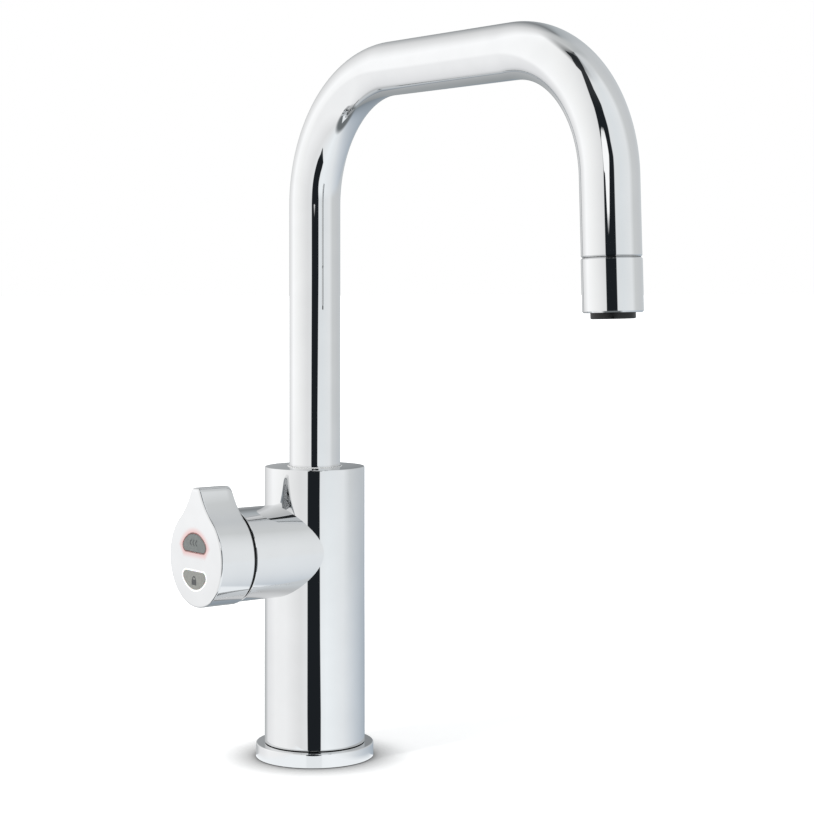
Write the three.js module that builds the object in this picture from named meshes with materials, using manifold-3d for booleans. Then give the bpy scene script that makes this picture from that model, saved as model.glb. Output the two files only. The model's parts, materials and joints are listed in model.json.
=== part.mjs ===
// A boiling water tap for a kitchen bench.
//
// A square-bend spout swivels in the top of a round column. A boss on the
// column's side carries a teardrop lever, which turns and springs back, and the
// lever's face holds two lit push buttons. A threaded shank clamps the tap to
// the bench, and two water tubes and a signal cable come up through it.
//
// Millimetres, +Z up. The spout points along -Y and the lever along -X. The
// origin is the middle of the gasket's underside, on top of the bench.

import * as THREE from 'three';
import { mergeVertices } from 'three/addons/utils/BufferGeometryUtils.js';
import Module from 'manifold-3d';

const wasm = await Module();
wasm.setup();

// ---- fits ------------------------------------------------------------------

const RUNNING_FIT = 0.2;        // radial clearance where one piece turns or slides in another
const FIXED_FIT = 0.3;          // radial clearance of a piece that stays put
const SEAT_GAP = 0.2;           // left at a seat between two pieces
const CHORD_ERROR = 0.14;        // about how far a round face's facets cut inside its circle

// ---- base and column -------------------------------------------------------

const GASKET_THICKNESS = 0.8;
const GASKET_INSET = 0.6;       // the gasket's edge stands back under the flange
const FLANGE_RADIUS = 28.75;
const FLANGE_THICKNESS = 6.2;
const FLANGE_CHAMFER = 0.6;
const UPSTAND_HEIGHT = 6;       // the ring on the flange that centres the column
const UPSTAND_WALL = 2.2;
const COLUMN_RADIUS = 24.5;
const COLUMN_LENGTH = 134.8;
const COLUMN_WALL = 2.5;
const COLUMN_CHAMFER = 0.7;
const TOP_PLATE = 4;
const GRUB_RADIUS = 2;          // of both grub screws, M4
const GRUB_HEIGHT = 3.5;        // above the flange's top
const GRUB_KEY_FLATS = 2;

// ---- side boss -------------------------------------------------------------

const LEVER_AXIS_HEIGHT = 95;   // above the flange's top
const BOSS_RADIUS = 22.2;
const BOSS_REACH = 49;          // from the column's axis
const BOSS_WALL = 3;
const BOSS_POCKET_DEPTH = 13;   // the wide part of the bore, which seats the carrier
const BOSS_NECK_RADIUS = 15;    // the narrow part of the bore

// ---- spout -----------------------------------------------------------------

const SPOUT_RADIUS = 12.5;
const SPOUT_WALL = 1.2;
const POST_LENGTH = 127.5;      // straight, from the column's top to the first bend
const REAR_BEND_RADIUS = 62.1;
const ARM_LENGTH = 86.95;
const FRONT_BEND_RADIUS = 58.6;
const LEG_LENGTH = 33.2;
const LEG_LEAN = THREE.MathUtils.degToRad(2.1);
const BEND_STEPS = 10;          // facets along each bend of the spout
const SPOUT_END_CHAMFER = 0.5;
const WATER_TUBE_RADIUS = 4;    // all three water tubes
const WATER_TUBE_WALL = 1.25;

// ---- spout foot and its socket ---------------------------------------------

const FOOT_FLANGE = 1.5;        // thickness; the spout tube stands on it
const SPIGOT_LENGTH = 12.7;     // the part of the foot inside the tube
const TUBE_SOCKET_DEPTH = 6;    // how far a water tube goes into its seat
const RING_SECTION = 1.1;       // an O-ring's section radius
const RING_SQUEEZE_GAP = 0.2;   // an O-ring is drawn unsqueezed, clear of its bore
const GROOVE_WIDTH = 2.6;
const GROOVE_LAND = 1.3;
const SWIVEL_RANGE = THREE.MathUtils.degToRad(60);
const STOP_SLOT_DEPTH = 2;
const STOP_TIP_RADIUS = 1.6;
const STOP_CLEARANCE = 0.4;
const SOCKET_FLOOR = 3;
const SOCKET_END_GAP = 0.5;     // the water space under the foot
const SLIP_RING_WALL = 0.7;
const SLIP_RING_LIP = 0.8;      // how far its lip reaches over the column's top
const SLIP_RING_LIP_HEIGHT = 0.5;

// ---- nozzle, measured down the leg from the end of the spout tube -----------

const NOZZLE_RADIUS = 12.6;
const NOZZLE_GROOVE = 0.15;
const NOZZLE_LENGTH = 22.5;
const NOZZLE_CHAMFER = 0.5;
const NOZZLE_THREAD_RADIUS = 10.5;
const NOZZLE_LIP = 1.65;
const ADAPTER_INSERT = 12;      // the length of the adapter inside the tube
const ADAPTER_SHOULDER = 4;
const ADAPTER_LENGTH = 9;
const AERATOR_SEAL = 1.5;
const AERATOR_NECK_RADIUS = 9.2;
const AERATOR_BORE_RADIUS = 7.2;
const AERATOR_WALL = 1.6;
const AERATOR_PROUD = 2.5;      // how far the aerator shows below the nozzle
const AERATOR_NOTCHES = 8;
const AERATOR_NOTCH_WIDTH = 1.4;
const AERATOR_NOTCH_DEPTH = 0.9;
const STRAIGHTENER_THICKNESS = 4;
const CELL_PITCH = 3;
const CELL_FLATS = 2.4;
const CELL_RINGS = 2;

// ---- bench fixing ----------------------------------------------------------

const BENCH_THICKNESS = 30;
const SHANK_RADIUS = 16;
const SHANK_BORE_RADIUS = 12;
const SHANK_REACH = 60;         // below the bench top
const SHANK_COLLAR = 4;
const CLAMP_WASHER_RADIUS = 25;
const RUBBER_WASHER = 3;
const STEEL_WASHER = 2.5;
const NUT_FLATS = 41;
const NUT_THICKNESS = 11;
const NUT_CHAMFER = 1.2;
const GLAND_DEPTH = 10;
const GLAND_FLANGE = 3;
const WATER_TUBE_SPACING = 13;
const INLET_DROP = 1.5;         // from the gland to the inlet fittings
const INLET_FLATS = 12;
const INLET_HEX_LENGTH = 9;
const INLET_SPIGOT_RADIUS = 4.75;
const INLET_SPIGOT_LENGTH = 8;
const CABLE_RADIUS = 2;
const CABLE_OFFSET = 9;         // behind the shank's axis
const SIGNAL_SOCKET_RADIUS = 3.4;
const SIGNAL_SOCKET_LENGTH = 10;

// ---- lever bearing, measured along the boss from the column's axis ----------

const LEVER_GAP = 1.4;          // between the boss and the lever
const CARRIER_FLOOR = 2.3;
const CARRIER_RIM_INSET = 0.6;  // the carrier's rim stands back from the boss's edge
const HUB_WALL = 1.5;
const BUSH_WALL = 2;
const BUSH_FLANGE = 1.2;
const BUSH_FLANGE_REACH = 0.6;
const SPINDLE_RADIUS = 7.8;
const SPINDLE_BORE_RADIUS = 2.5;
const SPINDLE_HEX_FLATS = 18;
const SPINDLE_HEX_LENGTH = 3;
const SPINDLE_TAIL = 2.8;       // past the circlip's groove
const CIRCLIP_THICKNESS = 1.2;
const CIRCLIP_WALL = 2.4;
const CIRCLIP_BITE = 0.7;
const CIRCLIP_OPENING = THREE.MathUtils.degToRad(70);
const THRUST_WASHER = 1.1;
const SPRING_WIRE_RADIUS = 0.7;
const SPRING_TURNS = 4;
const SPRING_PITCH = 1.9;
const SPRING_LEG = 1.4;
const SPRING_BEND_RADIUS = 1.5;
const MAGNET_THICKNESS = 1.7;
const SENSOR_GAP = 2;           // from the magnet to the sensor board
const BOARD_THICKNESS = 1.6;
const POST_RADIUS = 1.6;
const POST_PIN_RADIUS = 1;
const LEAD_RADIUS = 1.5;

// ---- lever -----------------------------------------------------------------

const LEVER_RADIUS = 23;
const LEVER_THICKNESS = 18.6;
const LEVER_TIP_HEIGHT = 28.5;  // from the lever's axis to the centre of the tip's rounding
const LEVER_TIP_RADIUS = 4.7;
const LEVER_FLANK_RADIUS = 40;
const LEVER_FILLET = 0.8;
const LEVER_WALL = 2.5;
const LEVER_FACE = 2;
const BACKPLATE_THICKNESS = 3;
const BACKPLATE_HUB_WALL = 2.5;
const LEVER_BOARD_GAP = 0.8;    // from the spindle's head to the button board
const BOARD_EDGE_GAP = 0.6;
const BOARD_SCREW_OFFSET = 15.5;
const BOARD_SCREW_RADIUS = 1.25;
const BOARD_SCREW_LENGTH = 5;
const BOARD_SCREW_HEAD_RADIUS = 2.2;
const BOARD_SCREW_HEAD = 1.4;
const BOARD_POST_RADIUS = 2.8;

// ---- buttons, in the plane of the lever's face -------------------------------

const BUTTON_HALF_WIDTH = 9.9;
const BUTTON_HEIGHT = 8.5;
const BUTTON_CORNER_RADIUS = 2.5;
const BUTTON_MIDDLE = -1.7;     // the height that the pair of buttons mirrors about
const BUTTON_SPREAD = 4.6;      // from that height to each button's flat edge
const BUTTON_TRAVEL = 0.8;
const BUTTON_PROUD = 0.25;
const BUTTON_RIM = 1.2;         // thickness of the rim that keeps a button in
const BUTTON_RIM_REACH = 1.4;
const LIGHT_RING_WALL = 0.8;
const LIGHT_RING_PROUD = 0.05;
const LIGHT_RING_RIM = 1.2;
const LIGHT_RING_RIM_REACH = 1.1;
const SWITCH_SIZE = 6;
const SWITCH_HEIGHT = 2.4;
const PLUNGER_RADIUS = 1.6;
const PLUNGER_DIP = 0.3;        // into the switch's well, at rest
const LED_SIZE = 2.4;
const LED_HEIGHT = 1.2;
const LED_OFFSET = 7;           // sideways, from the middle of the button

// ---- heights and radii worked out from the above -----------------------------

const FLANGE_TOP = GASKET_THICKNESS + FLANGE_THICKNESS;
const COLUMN_TOP = FLANGE_TOP + COLUMN_LENGTH;
const COLUMN_BORE = COLUMN_RADIUS - COLUMN_WALL;
const SOCKET_TOP = COLUMN_TOP - TOP_PLATE;
const LEVER_AXIS = FLANGE_TOP + LEVER_AXIS_HEIGHT;
const BOSS_BORE = BOSS_RADIUS - BOSS_WALL;
const BOSS_SHOULDER = BOSS_REACH - BOSS_POCKET_DEPTH;
const GRUB_AXIS = FLANGE_TOP + GRUB_HEIGHT;
const GRUB_END = COLUMN_RADIUS - 2 * SEAT_GAP;
const SHANK_CLEAR_BORE = SHANK_RADIUS + 2 * RUNNING_FIT;
const UPSTAND_BORE = COLUMN_BORE - FIXED_FIT - UPSTAND_WALL;

const SPOUT_BORE = SPOUT_RADIUS - SPOUT_WALL;
const WATER_BORE = WATER_TUBE_RADIUS - WATER_TUBE_WALL;
const WATER_SEAT = WATER_TUBE_RADIUS + FIXED_FIT;
const FOOT_RADIUS = SPOUT_BORE - FIXED_FIT;
const SOCKET_BORE = FOOT_RADIUS + RUNNING_FIT;
const FOOT_FLANGE_TOP = SOCKET_TOP + FOOT_FLANGE;
const FOOT_TOP = FOOT_FLANGE_TOP + SPIGOT_LENGTH;
const SLIP_RING_BORE = SPOUT_RADIUS + RUNNING_FIT;
const TOP_HOLE = SLIP_RING_BORE + SLIP_RING_WALL + FIXED_FIT;
const STOP_SLOT_HALF = STOP_TIP_RADIUS + STOP_CLEARANCE;
const STOP_AXIS = SOCKET_TOP - GROOVE_LAND - GRUB_RADIUS - STOP_SLOT_HALF - GROOVE_LAND / 2;
const UPPER_RING = STOP_AXIS - STOP_SLOT_HALF - GROOVE_LAND - GROOVE_WIDTH / 2;
const LOWER_RING = UPPER_RING - GROOVE_WIDTH - GROOVE_LAND;
const FOOT_BOTTOM = LOWER_RING - GROOVE_WIDTH / 2 - GROOVE_LAND;
const SOCKET_SEAT = FOOT_BOTTOM - SOCKET_END_GAP;
const SOCKET_BOTTOM = SOCKET_SEAT - SOCKET_FLOOR;
const RING_RADIUS = SOCKET_BORE - RING_SQUEEZE_GAP - RING_SECTION;
const GROOVE_RADIUS = RING_RADIUS - RING_SECTION - SEAT_GAP;
const RISER_TOP = SOCKET_SEAT - SOCKET_FLOOR / 2 - SEAT_GAP;

const BEND_START = COLUMN_TOP + POST_LENGTH;
const ARM_HEIGHT = BEND_START + REAR_BEND_RADIUS;

const SHANK_BOTTOM = -SHANK_REACH;
const GLAND_BOTTOM = SHANK_BOTTOM - GLAND_FLANGE;
const INLET_TOP = GLAND_BOTTOM - INLET_DROP;
const INLET_SEAT = INLET_TOP - TUBE_SOCKET_DEPTH;
const CLAMP_TOP = -BENCH_THICKNESS;
const NUT_TOP = CLAMP_TOP - RUBBER_WASHER - STEEL_WASHER;

const LEVER_BACK = BOSS_REACH + LEVER_GAP;
const LEVER_FRONT = LEVER_BACK + LEVER_THICKNESS;
const LEVER_FACE_INSIDE = LEVER_FRONT - LEVER_FACE;
const CARRIER_BACK = BOSS_SHOULDER + SEAT_GAP;
const CARRIER_FRONT = LEVER_BACK - FIXED_FIT;
const SPRING_FLOOR = CARRIER_BACK + CARRIER_FLOOR;
const BUSH_BORE = SPINDLE_RADIUS + RUNNING_FIT;
const BUSH_RADIUS = BUSH_BORE + BUSH_WALL;
const HUB_BORE = BUSH_RADIUS + FIXED_FIT;
const HUB_RADIUS = HUB_BORE + HUB_WALL;
const SPRING_RADIUS = (HUB_RADIUS + BOSS_BORE - FIXED_FIT) / 2 - SPRING_WIRE_RADIUS;
const SPRING_POCKET_RADIUS = SPRING_RADIUS + 2 * SPRING_WIRE_RADIUS + FIXED_FIT;
const SPRING_START = SPRING_FLOOR + SPRING_BEND_RADIUS + SPRING_WIRE_RADIUS;
const SPRING_END = SPRING_START + SPRING_TURNS * SPRING_PITCH;
const WASHER_BACK = LEVER_BACK - SEAT_GAP - THRUST_WASHER;
const BUSH_FLANGE_BACK = CARRIER_BACK - SEAT_GAP / 2 - BUSH_FLANGE;
const CIRCLIP_BACK = BUSH_FLANGE_BACK - SEAT_GAP - CIRCLIP_THICKNESS;
const SPINDLE_BACK = CIRCLIP_BACK - SPINDLE_TAIL / 2;
const SPINDLE_HEX_BACK = LEVER_BACK + BACKPLATE_THICKNESS + SEAT_GAP;
const SPINDLE_FRONT = SPINDLE_HEX_BACK + SPINDLE_HEX_LENGTH;
const MAGNET_FRONT = SPINDLE_BACK - SEAT_GAP / 2;
const MAGNET_BACK = MAGNET_FRONT - MAGNET_THICKNESS;
const SENSOR_FRONT = MAGNET_BACK - SENSOR_GAP;
const SENSOR_BACK = SENSOR_FRONT - BOARD_THICKNESS;
const SENSOR_RADIUS = BOSS_NECK_RADIUS - FIXED_FIT;
const POST_OFFSET = BUSH_RADIUS + BUSH_FLANGE_REACH + FIXED_FIT + POST_RADIUS;
const LEVER_BOARD_BACK = SPINDLE_FRONT + LEVER_BOARD_GAP;
const LEVER_BOARD_FRONT = LEVER_BOARD_BACK + BOARD_THICKNESS;
const SWITCH_FRONT = LEVER_BOARD_FRONT + SEAT_GAP + SWITCH_HEIGHT;

// ---- finishes --------------------------------------------------------------

const finish = (color, metalness, roughness) =>
  new THREE.MeshStandardMaterial({ color, metalness, roughness });

const CHROME = finish(0xe4e7ea, 1, 0.06);
const STAINLESS = finish(0xb9bcc0, 1, 0.35);
const BRASS = finish(0xc8a45c, 1, 0.35);
const BLACK_ACETAL = finish(0x151617, 0, 0.45);
const BLACK_RUBBER = finish(0x1a1a1b, 0, 0.85);
const WHITE_PTFE = finish(0xe9eae8, 0, 0.5);
const SMOKED_PLASTIC = finish(0x6d7170, 0, 0.3);
const CLEAR_PLASTIC = finish(0xf2f3f3, 0, 0.25);
const BOARD_GREEN = finish(0x2c5a3c, 0, 0.5);
const GREY_PLASTIC = finish(0x8c8f90, 0, 0.5);

// ---- geometry helpers --------------------------------------------------------

/** The number of facets that keeps a circle within the chord error. */
function facets(radius) {
  const half = Math.acos(1 - CHORD_ERROR / Math.max(radius, 1));
  return Math.max(12, 4 * Math.round(Math.PI / half / 4));
}

/** A solid turned about Z from a closed profile of [radius, height] points. */
function turned(profile) {
  const outline = [...profile, profile[0]].map(([r, z]) => new THREE.Vector2(r, z));
  const widest = Math.max(...profile.map(([r]) => r));
  return new THREE.LatheGeometry(outline, facets(widest)).rotateX(Math.PI / 2);
}

/** A plain round bar along Z. */
function bar(radius, from, to) {
  return turned([[0, from], [radius, from], [radius, to], [0, to]]);
}

/** A plain ring or pipe along Z. */
function ring(bore, radius, from, to) {
  return turned([[bore, from], [radius, from], [radius, to], [bore, to]]);
}

/** A shape pulled along Z. */
function pulled(shape, from, to, options = {}) {
  const settings = { depth: to - from, bevelEnabled: false, curveSegments: 6, ...options };
  return new THREE.ExtrudeGeometry(shape, settings).translate(0, 0, from);
}

/** A regular hexagon by its width across flats, with two flats square to Y. */
function hexagon(flats, x = 0, y = 0) {
  const corners = Array.from({ length: 6 }, (_, i) => {
    const angle = (i * Math.PI) / 3;
    const reach = flats / Math.sqrt(3);
    return new THREE.Vector2(x + reach * Math.cos(angle), y + reach * Math.sin(angle));
  });
  return new THREE.Shape(corners);
}

/** The points of an arc, without the last one, which starts the next arc. */
function arc(x, y, radius, from, to) {
  const steps = Math.max(3, Math.ceil((facets(radius) * Math.abs(to - from)) / (2 * Math.PI)));
  return Array.from({ length: steps }, (_, i) => {
    const angle = from + ((to - from) * i) / steps;
    return new THREE.Vector2(x + radius * Math.cos(angle), y + radius * Math.sin(angle));
  });
}

/** A block by its middle in X and Y and its span along Z. */
function block(width, depth, from, to) {
  return new THREE.BoxGeometry(width, depth, to - from).translate(0, 0, (from + to) / 2);
}

/** The geometry as one indexed shell: doubles merged, slivers gone, faces out. */
function shell(geometry) {
  const bare = geometry.clone();
  bare.deleteAttribute('normal');
  bare.deleteAttribute('uv');
  const merged = mergeVertices(bare, 1e-4);
  const corner = merged.index.array;
  const at = (i) => new THREE.Vector3().fromBufferAttribute(merged.attributes.position, i);
  const faces = [];
  let volume = 0;
  for (let i = 0; i < corner.length; i += 3) {
    const [a, b, c] = [corner[i], corner[i + 1], corner[i + 2]];
    if (a === b || b === c || c === a) continue;
    faces.push(a, b, c);
    volume += at(a).dot(at(b).cross(at(c)));
  }
  if (volume < 0) faces.reverse();
  merged.setIndex(faces);
  return merged;
}

/** A closed geometry as a solid that can be joined and cut. */
function solid(geometry) {
  const { attributes, index } = shell(geometry);
  const mesh = new wasm.Mesh({
    numProp: 3,
    vertProperties: new Float32Array(attributes.position.array),
    triVerts: new Uint32Array(index.array),
  });
  return new wasm.Manifold(mesh);
}

/** A solid's faces as a geometry. */
function facesOf(work) {
  const mesh = work.getMesh();
  const geometry = new THREE.BufferGeometry();
  geometry.setAttribute('position', new THREE.BufferAttribute(new Float32Array(mesh.vertProperties), 3));
  geometry.setIndex(Array.from(mesh.triVerts));
  return geometry;
}

/** The base with some shapes joined to it and then some cut out of it. */
function carved(base, { add = [], cut = [] }) {
  let work = solid(base);
  for (const shape of add) work = work.add(solid(shape));
  for (const shape of cut) work = work.subtract(solid(shape));
  return facesOf(work);
}

/** A path through stations of {at, along}, with one section at each of them. */
class Route extends THREE.Curve {
  constructor(stations) {
    super();
    this.stations = stations;
    this.steps = stations.length - 1;
  }

  station(u) {
    return this.stations[Math.round(u * this.steps)];
  }

  getPointAt(u) {
    return this.station(u).at.clone();
  }

  getTangentAt(u) {
    return this.station(u).along.clone();
  }
}

/** A tube along a route, with an even number of sides. A bore makes it a pipe. */
function tube(route, radius, sides, bore = 0) {
  const section = new THREE.Shape().absarc(0, 0, radius, 0, 2 * Math.PI);
  if (bore > 0) section.holes.push(new THREE.Path().absarc(0, 0, bore, 0, 2 * Math.PI, true));
  const settings = {
    steps: route.steps,
    extrudePath: route,
    curveSegments: sides / 2,
  };
  return new THREE.ExtrudeGeometry(section, settings);
}

/** Adds a named piece to a group. */
function piece(group, name, geometry, material) {
  const mesh = new THREE.Mesh(shell(geometry), material);
  mesh.name = name;
  group.add(mesh);
  return mesh;
}

/** A grub screw along +Y, with its hexagon key recess at the outer end. */
function grubScrew(tip, from, to, tipFrom) {
  const points = [[0, tipFrom], [tip, tipFrom], [tip, from], [GRUB_RADIUS, from], [GRUB_RADIUS, to], [0, to]];
  const recess = pulled(hexagon(GRUB_KEY_FLATS), to - GRUB_RADIUS, to + 1);
  return carved(turned(points), { cut: [recess] }).rotateX(-Math.PI / 2);
}

/** A round hole along +Y, from the axis outwards. */
function rearHole(radius, from, to, height) {
  return bar(radius, from, to).rotateX(-Math.PI / 2).translate(0, 0, height);
}

// ---- base, column and boss -----------------------------------------------------

function makeBase() {
  const group = new THREE.Group();
  const gasket = ring(
    SHANK_CLEAR_BORE, FLANGE_RADIUS - GASKET_INSET, 0, GASKET_THICKNESS,
  );
  piece(group, 'base_gasket', gasket, BLACK_RUBBER);

  const upstandTop = FLANGE_TOP + UPSTAND_HEIGHT;
  const upstandRadius = COLUMN_BORE - FIXED_FIT;
  const flange = turned([
    [SHANK_CLEAR_BORE, GASKET_THICKNESS],
    [FLANGE_RADIUS, GASKET_THICKNESS],
    [FLANGE_RADIUS, FLANGE_TOP - FLANGE_CHAMFER],
    [FLANGE_RADIUS - FLANGE_CHAMFER, FLANGE_TOP],
    [upstandRadius, FLANGE_TOP],
    [upstandRadius, upstandTop - FLANGE_CHAMFER],
    [upstandRadius - FLANGE_CHAMFER, upstandTop],
    [UPSTAND_BORE, upstandTop],
    [UPSTAND_BORE, FLANGE_TOP],
    [SHANK_CLEAR_BORE, FLANGE_TOP],
  ]);
  const grubHole = rearHole(GRUB_RADIUS + RUNNING_FIT, UPSTAND_BORE - 1, COLUMN_RADIUS, GRUB_AXIS);
  piece(group, 'base_flange', carved(flange, { cut: [grubHole] }), CHROME);

  const screw = grubScrew(GRUB_RADIUS, UPSTAND_BORE + 1, GRUB_END, UPSTAND_BORE + SEAT_GAP);
  piece(group, 'body_grub_screw', screw.translate(0, 0, GRUB_AXIS), STAINLESS);
  return group;
}

/** A round bar along the boss, from one distance from the column's axis to another. */
function bossBar(radius, from, to) {
  return bar(radius, from, to).rotateY(-Math.PI / 2).translate(0, 0, LEVER_AXIS);
}

function makeBody() {
  const group = new THREE.Group();
  const column = turned([
    [0, FLANGE_TOP],
    [COLUMN_RADIUS, FLANGE_TOP],
    [COLUMN_RADIUS, COLUMN_TOP - COLUMN_CHAMFER],
    [COLUMN_RADIUS - COLUMN_CHAMFER, COLUMN_TOP],
    [0, COLUMN_TOP],
  ]);
  const screwHole = GRUB_RADIUS + FIXED_FIT;
  const body = carved(column, {
    add: [bossBar(BOSS_RADIUS, 0, BOSS_REACH)],
    cut: [
      bar(COLUMN_BORE, FLANGE_TOP - 1, SOCKET_TOP),
      bar(TOP_HOLE, SOCKET_TOP - 1, COLUMN_TOP + 1),
      bossBar(BOSS_NECK_RADIUS, 0, BOSS_SHOULDER + 1),
      bossBar(BOSS_BORE, BOSS_SHOULDER, BOSS_REACH + 1),
      rearHole(screwHole, COLUMN_BORE - 1, COLUMN_RADIUS + 1, GRUB_AXIS),
      rearHole(screwHole, COLUMN_BORE - 1, COLUMN_RADIUS + 1, STOP_AXIS),
    ],
  });
  piece(group, 'tap_body', body, CHROME);
  return group;
}

// ---- spout bearing -------------------------------------------------------------

function makeSpoutBearing() {
  const group = new THREE.Group();
  const port = WATER_TUBE_SPACING / 2;
  const cup = turned([
    [0, SOCKET_BOTTOM],
    [COLUMN_BORE - RUNNING_FIT, SOCKET_BOTTOM],
    [COLUMN_BORE - RUNNING_FIT, SOCKET_TOP],
    [SOCKET_BORE, SOCKET_TOP],
    [SOCKET_BORE, SOCKET_SEAT],
    [0, SOCKET_SEAT],
  ]);
  const ports = [-port, port].flatMap((x) => [
    bar(WATER_SEAT, SOCKET_BOTTOM - 1, RISER_TOP + SEAT_GAP).translate(x, 0, 0),
    bar(WATER_BORE, SOCKET_BOTTOM, SOCKET_SEAT + 1).translate(x, 0, 0),
  ]);
  const stopHole = rearHole(GRUB_RADIUS + RUNNING_FIT, SOCKET_BORE - 1, COLUMN_BORE + 1, STOP_AXIS);
  piece(group, 'spout_socket', carved(cup, { cut: [...ports, stopHole] }), BRASS);

  const lipTop = COLUMN_TOP + SLIP_RING_LIP_HEIGHT;
  const wall = SLIP_RING_BORE + SLIP_RING_WALL;
  const slipRing = turned([
    [SLIP_RING_BORE, SOCKET_TOP],
    [wall, SOCKET_TOP],
    [wall, COLUMN_TOP],
    [wall + SLIP_RING_LIP, COLUMN_TOP],
    [wall + SLIP_RING_LIP / 2, lipTop],
    [SLIP_RING_BORE, lipTop],
  ]);
  piece(group, 'spout_slip_ring', slipRing, WHITE_PTFE);

  const stop = grubScrew(
    STOP_TIP_RADIUS, SOCKET_BORE + STOP_CLEARANCE, GRUB_END,
    FOOT_RADIUS - STOP_SLOT_DEPTH + STOP_CLEARANCE,
  );
  piece(group, 'spout_stop_screw', stop.translate(0, 0, STOP_AXIS), STAINLESS);
  return group;
}

// ---- bench fixing and water supply ------------------------------------------------

function makeShank() {
  const group = new THREE.Group();
  const collarRadius = UPSTAND_BORE - FIXED_FIT;
  const collarTop = FLANGE_TOP + SHANK_COLLAR;
  const shank = turned([
    [SHANK_BORE_RADIUS, SHANK_BOTTOM],
    [SHANK_RADIUS - NUT_CHAMFER, SHANK_BOTTOM],
    [SHANK_RADIUS, SHANK_BOTTOM + NUT_CHAMFER],
    [SHANK_RADIUS, FLANGE_TOP],
    [collarRadius, FLANGE_TOP],
    [collarRadius, collarTop],
    [SHANK_BORE_RADIUS, collarTop],
  ]);
  piece(group, 'threaded_shank', shank, BRASS);

  const rubberBottom = CLAMP_TOP - RUBBER_WASHER;
  const rubber = ring(SHANK_CLEAR_BORE, CLAMP_WASHER_RADIUS, rubberBottom, CLAMP_TOP);
  piece(group, 'rubber_clamp_washer', rubber, BLACK_RUBBER);
  const steel = ring(SHANK_CLEAR_BORE, CLAMP_WASHER_RADIUS, NUT_TOP, rubberBottom);
  piece(group, 'steel_clamp_washer', steel, STAINLESS);

  const nutBottom = NUT_TOP - NUT_THICKNESS;
  const corner = NUT_FLATS / Math.sqrt(3);
  const round = turned([
    [0, nutBottom],
    [corner - NUT_CHAMFER, nutBottom],
    [corner, nutBottom + NUT_CHAMFER],
    [corner, NUT_TOP - NUT_CHAMFER],
    [corner - NUT_CHAMFER, NUT_TOP],
    [0, NUT_TOP],
  ]);
  const hex = solid(pulled(hexagon(NUT_FLATS), nutBottom, NUT_TOP)).intersect(solid(round));
  const bore = solid(bar(SHANK_RADIUS + FIXED_FIT, nutBottom - 1, NUT_TOP + 1));
  piece(group, 'lock_nut', facesOf(hex.subtract(bore)), BRASS);
  return group;
}

function makeGland() {
  const group = new THREE.Group();
  const port = WATER_TUBE_SPACING / 2;
  const plug = turned([
    [0, GLAND_BOTTOM],
    [SHANK_RADIUS, GLAND_BOTTOM],
    [SHANK_RADIUS, SHANK_BOTTOM],
    [SHANK_BORE_RADIUS - FIXED_FIT, SHANK_BOTTOM],
    [SHANK_BORE_RADIUS - FIXED_FIT, SHANK_BOTTOM + GLAND_DEPTH],
    [0, SHANK_BOTTOM + GLAND_DEPTH],
  ]);
  const through = (radius) => bar(radius, GLAND_BOTTOM - 1, SHANK_BOTTOM + GLAND_DEPTH + 1);
  const gland = carved(plug, {
    cut: [
      through(WATER_SEAT).translate(-port, 0, 0),
      through(WATER_SEAT).translate(port, 0, 0),
      through(CABLE_RADIUS + FIXED_FIT).translate(0, CABLE_OFFSET, 0),
    ],
  });
  piece(group, 'shank_gland', gland, BLACK_RUBBER);

  const hexBottom = INLET_TOP - INLET_HEX_LENGTH;
  const spigotBottom = hexBottom - INLET_SPIGOT_LENGTH;
  for (const [name, x] of [['hot', -port], ['chilled', port]]) {
    const riser = ring(WATER_BORE, WATER_TUBE_RADIUS, INLET_SEAT + SEAT_GAP, RISER_TOP);
    piece(group, `${name}_riser_tube`, riser.translate(x, 0, 0), STAINLESS);
    const fitting = carved(pulled(hexagon(INLET_FLATS), hexBottom, INLET_TOP), {
      add: [bar(INLET_SPIGOT_RADIUS, spigotBottom, hexBottom + 1)],
      cut: [
        bar(WATER_SEAT, INLET_SEAT, INLET_TOP + 1),
        bar(WATER_BORE, spigotBottom - 1, INLET_TOP),
      ],
    });
    const quarterTurn = fitting.rotateZ(Math.PI / 2);
    piece(group, `${name}_inlet_fitting`, quarterTurn.translate(x, 0, 0), BRASS);
  }
  return group;
}

/** The signal cable runs from the sensor board down behind the water tubes. */
function makeSignalCable() {
  const group = new THREE.Group();
  const boardEnd = -(SENSOR_BACK - FIXED_FIT);
  const socketTop = INLET_TOP;
  const cableEnd = socketTop - SIGNAL_SOCKET_LENGTH / 2 + SEAT_GAP;
  const points = [
    [boardEnd, 8, LEVER_AXIS - 6],
    [boardEnd + 4, 8, LEVER_AXIS - 6],
    [-16.5, 9, LEVER_AXIS - 12],
    [-15, 10, LEVER_AXIS - 26],
    [-11, 11, LEVER_AXIS - 52],
    [-3.5, 10, FLANGE_TOP + 20],
    [0, CABLE_OFFSET, FLANGE_TOP + 4],
    [0, CABLE_OFFSET, SHANK_BOTTOM + GLAND_DEPTH],
    [0, CABLE_OFFSET, cableEnd],
  ].map((p) => new THREE.Vector3(...p));
  const curve = new THREE.CatmullRomCurve3(points, false, 'centripetal');
  const steps = 20;
  const stations = Array.from({ length: steps + 1 }, (_, i) => ({
    at: curve.getPointAt(i / steps),
    along: curve.getTangentAt(i / steps),
  }));
  piece(group, 'signal_cable', tube(new Route(stations), CABLE_RADIUS, 8), BLACK_RUBBER);

  const socket = carved(bar(SIGNAL_SOCKET_RADIUS, socketTop - SIGNAL_SOCKET_LENGTH, socketTop), {
    cut: [bar(CABLE_RADIUS + FIXED_FIT, cableEnd - SEAT_GAP, socketTop + 1)],
  });
  piece(group, 'signal_socket', socket.translate(0, CABLE_OFFSET, 0), BLACK_ACETAL);
  return group;
}

// ---- lever bearing, in the lever's frame ------------------------------------------

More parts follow.
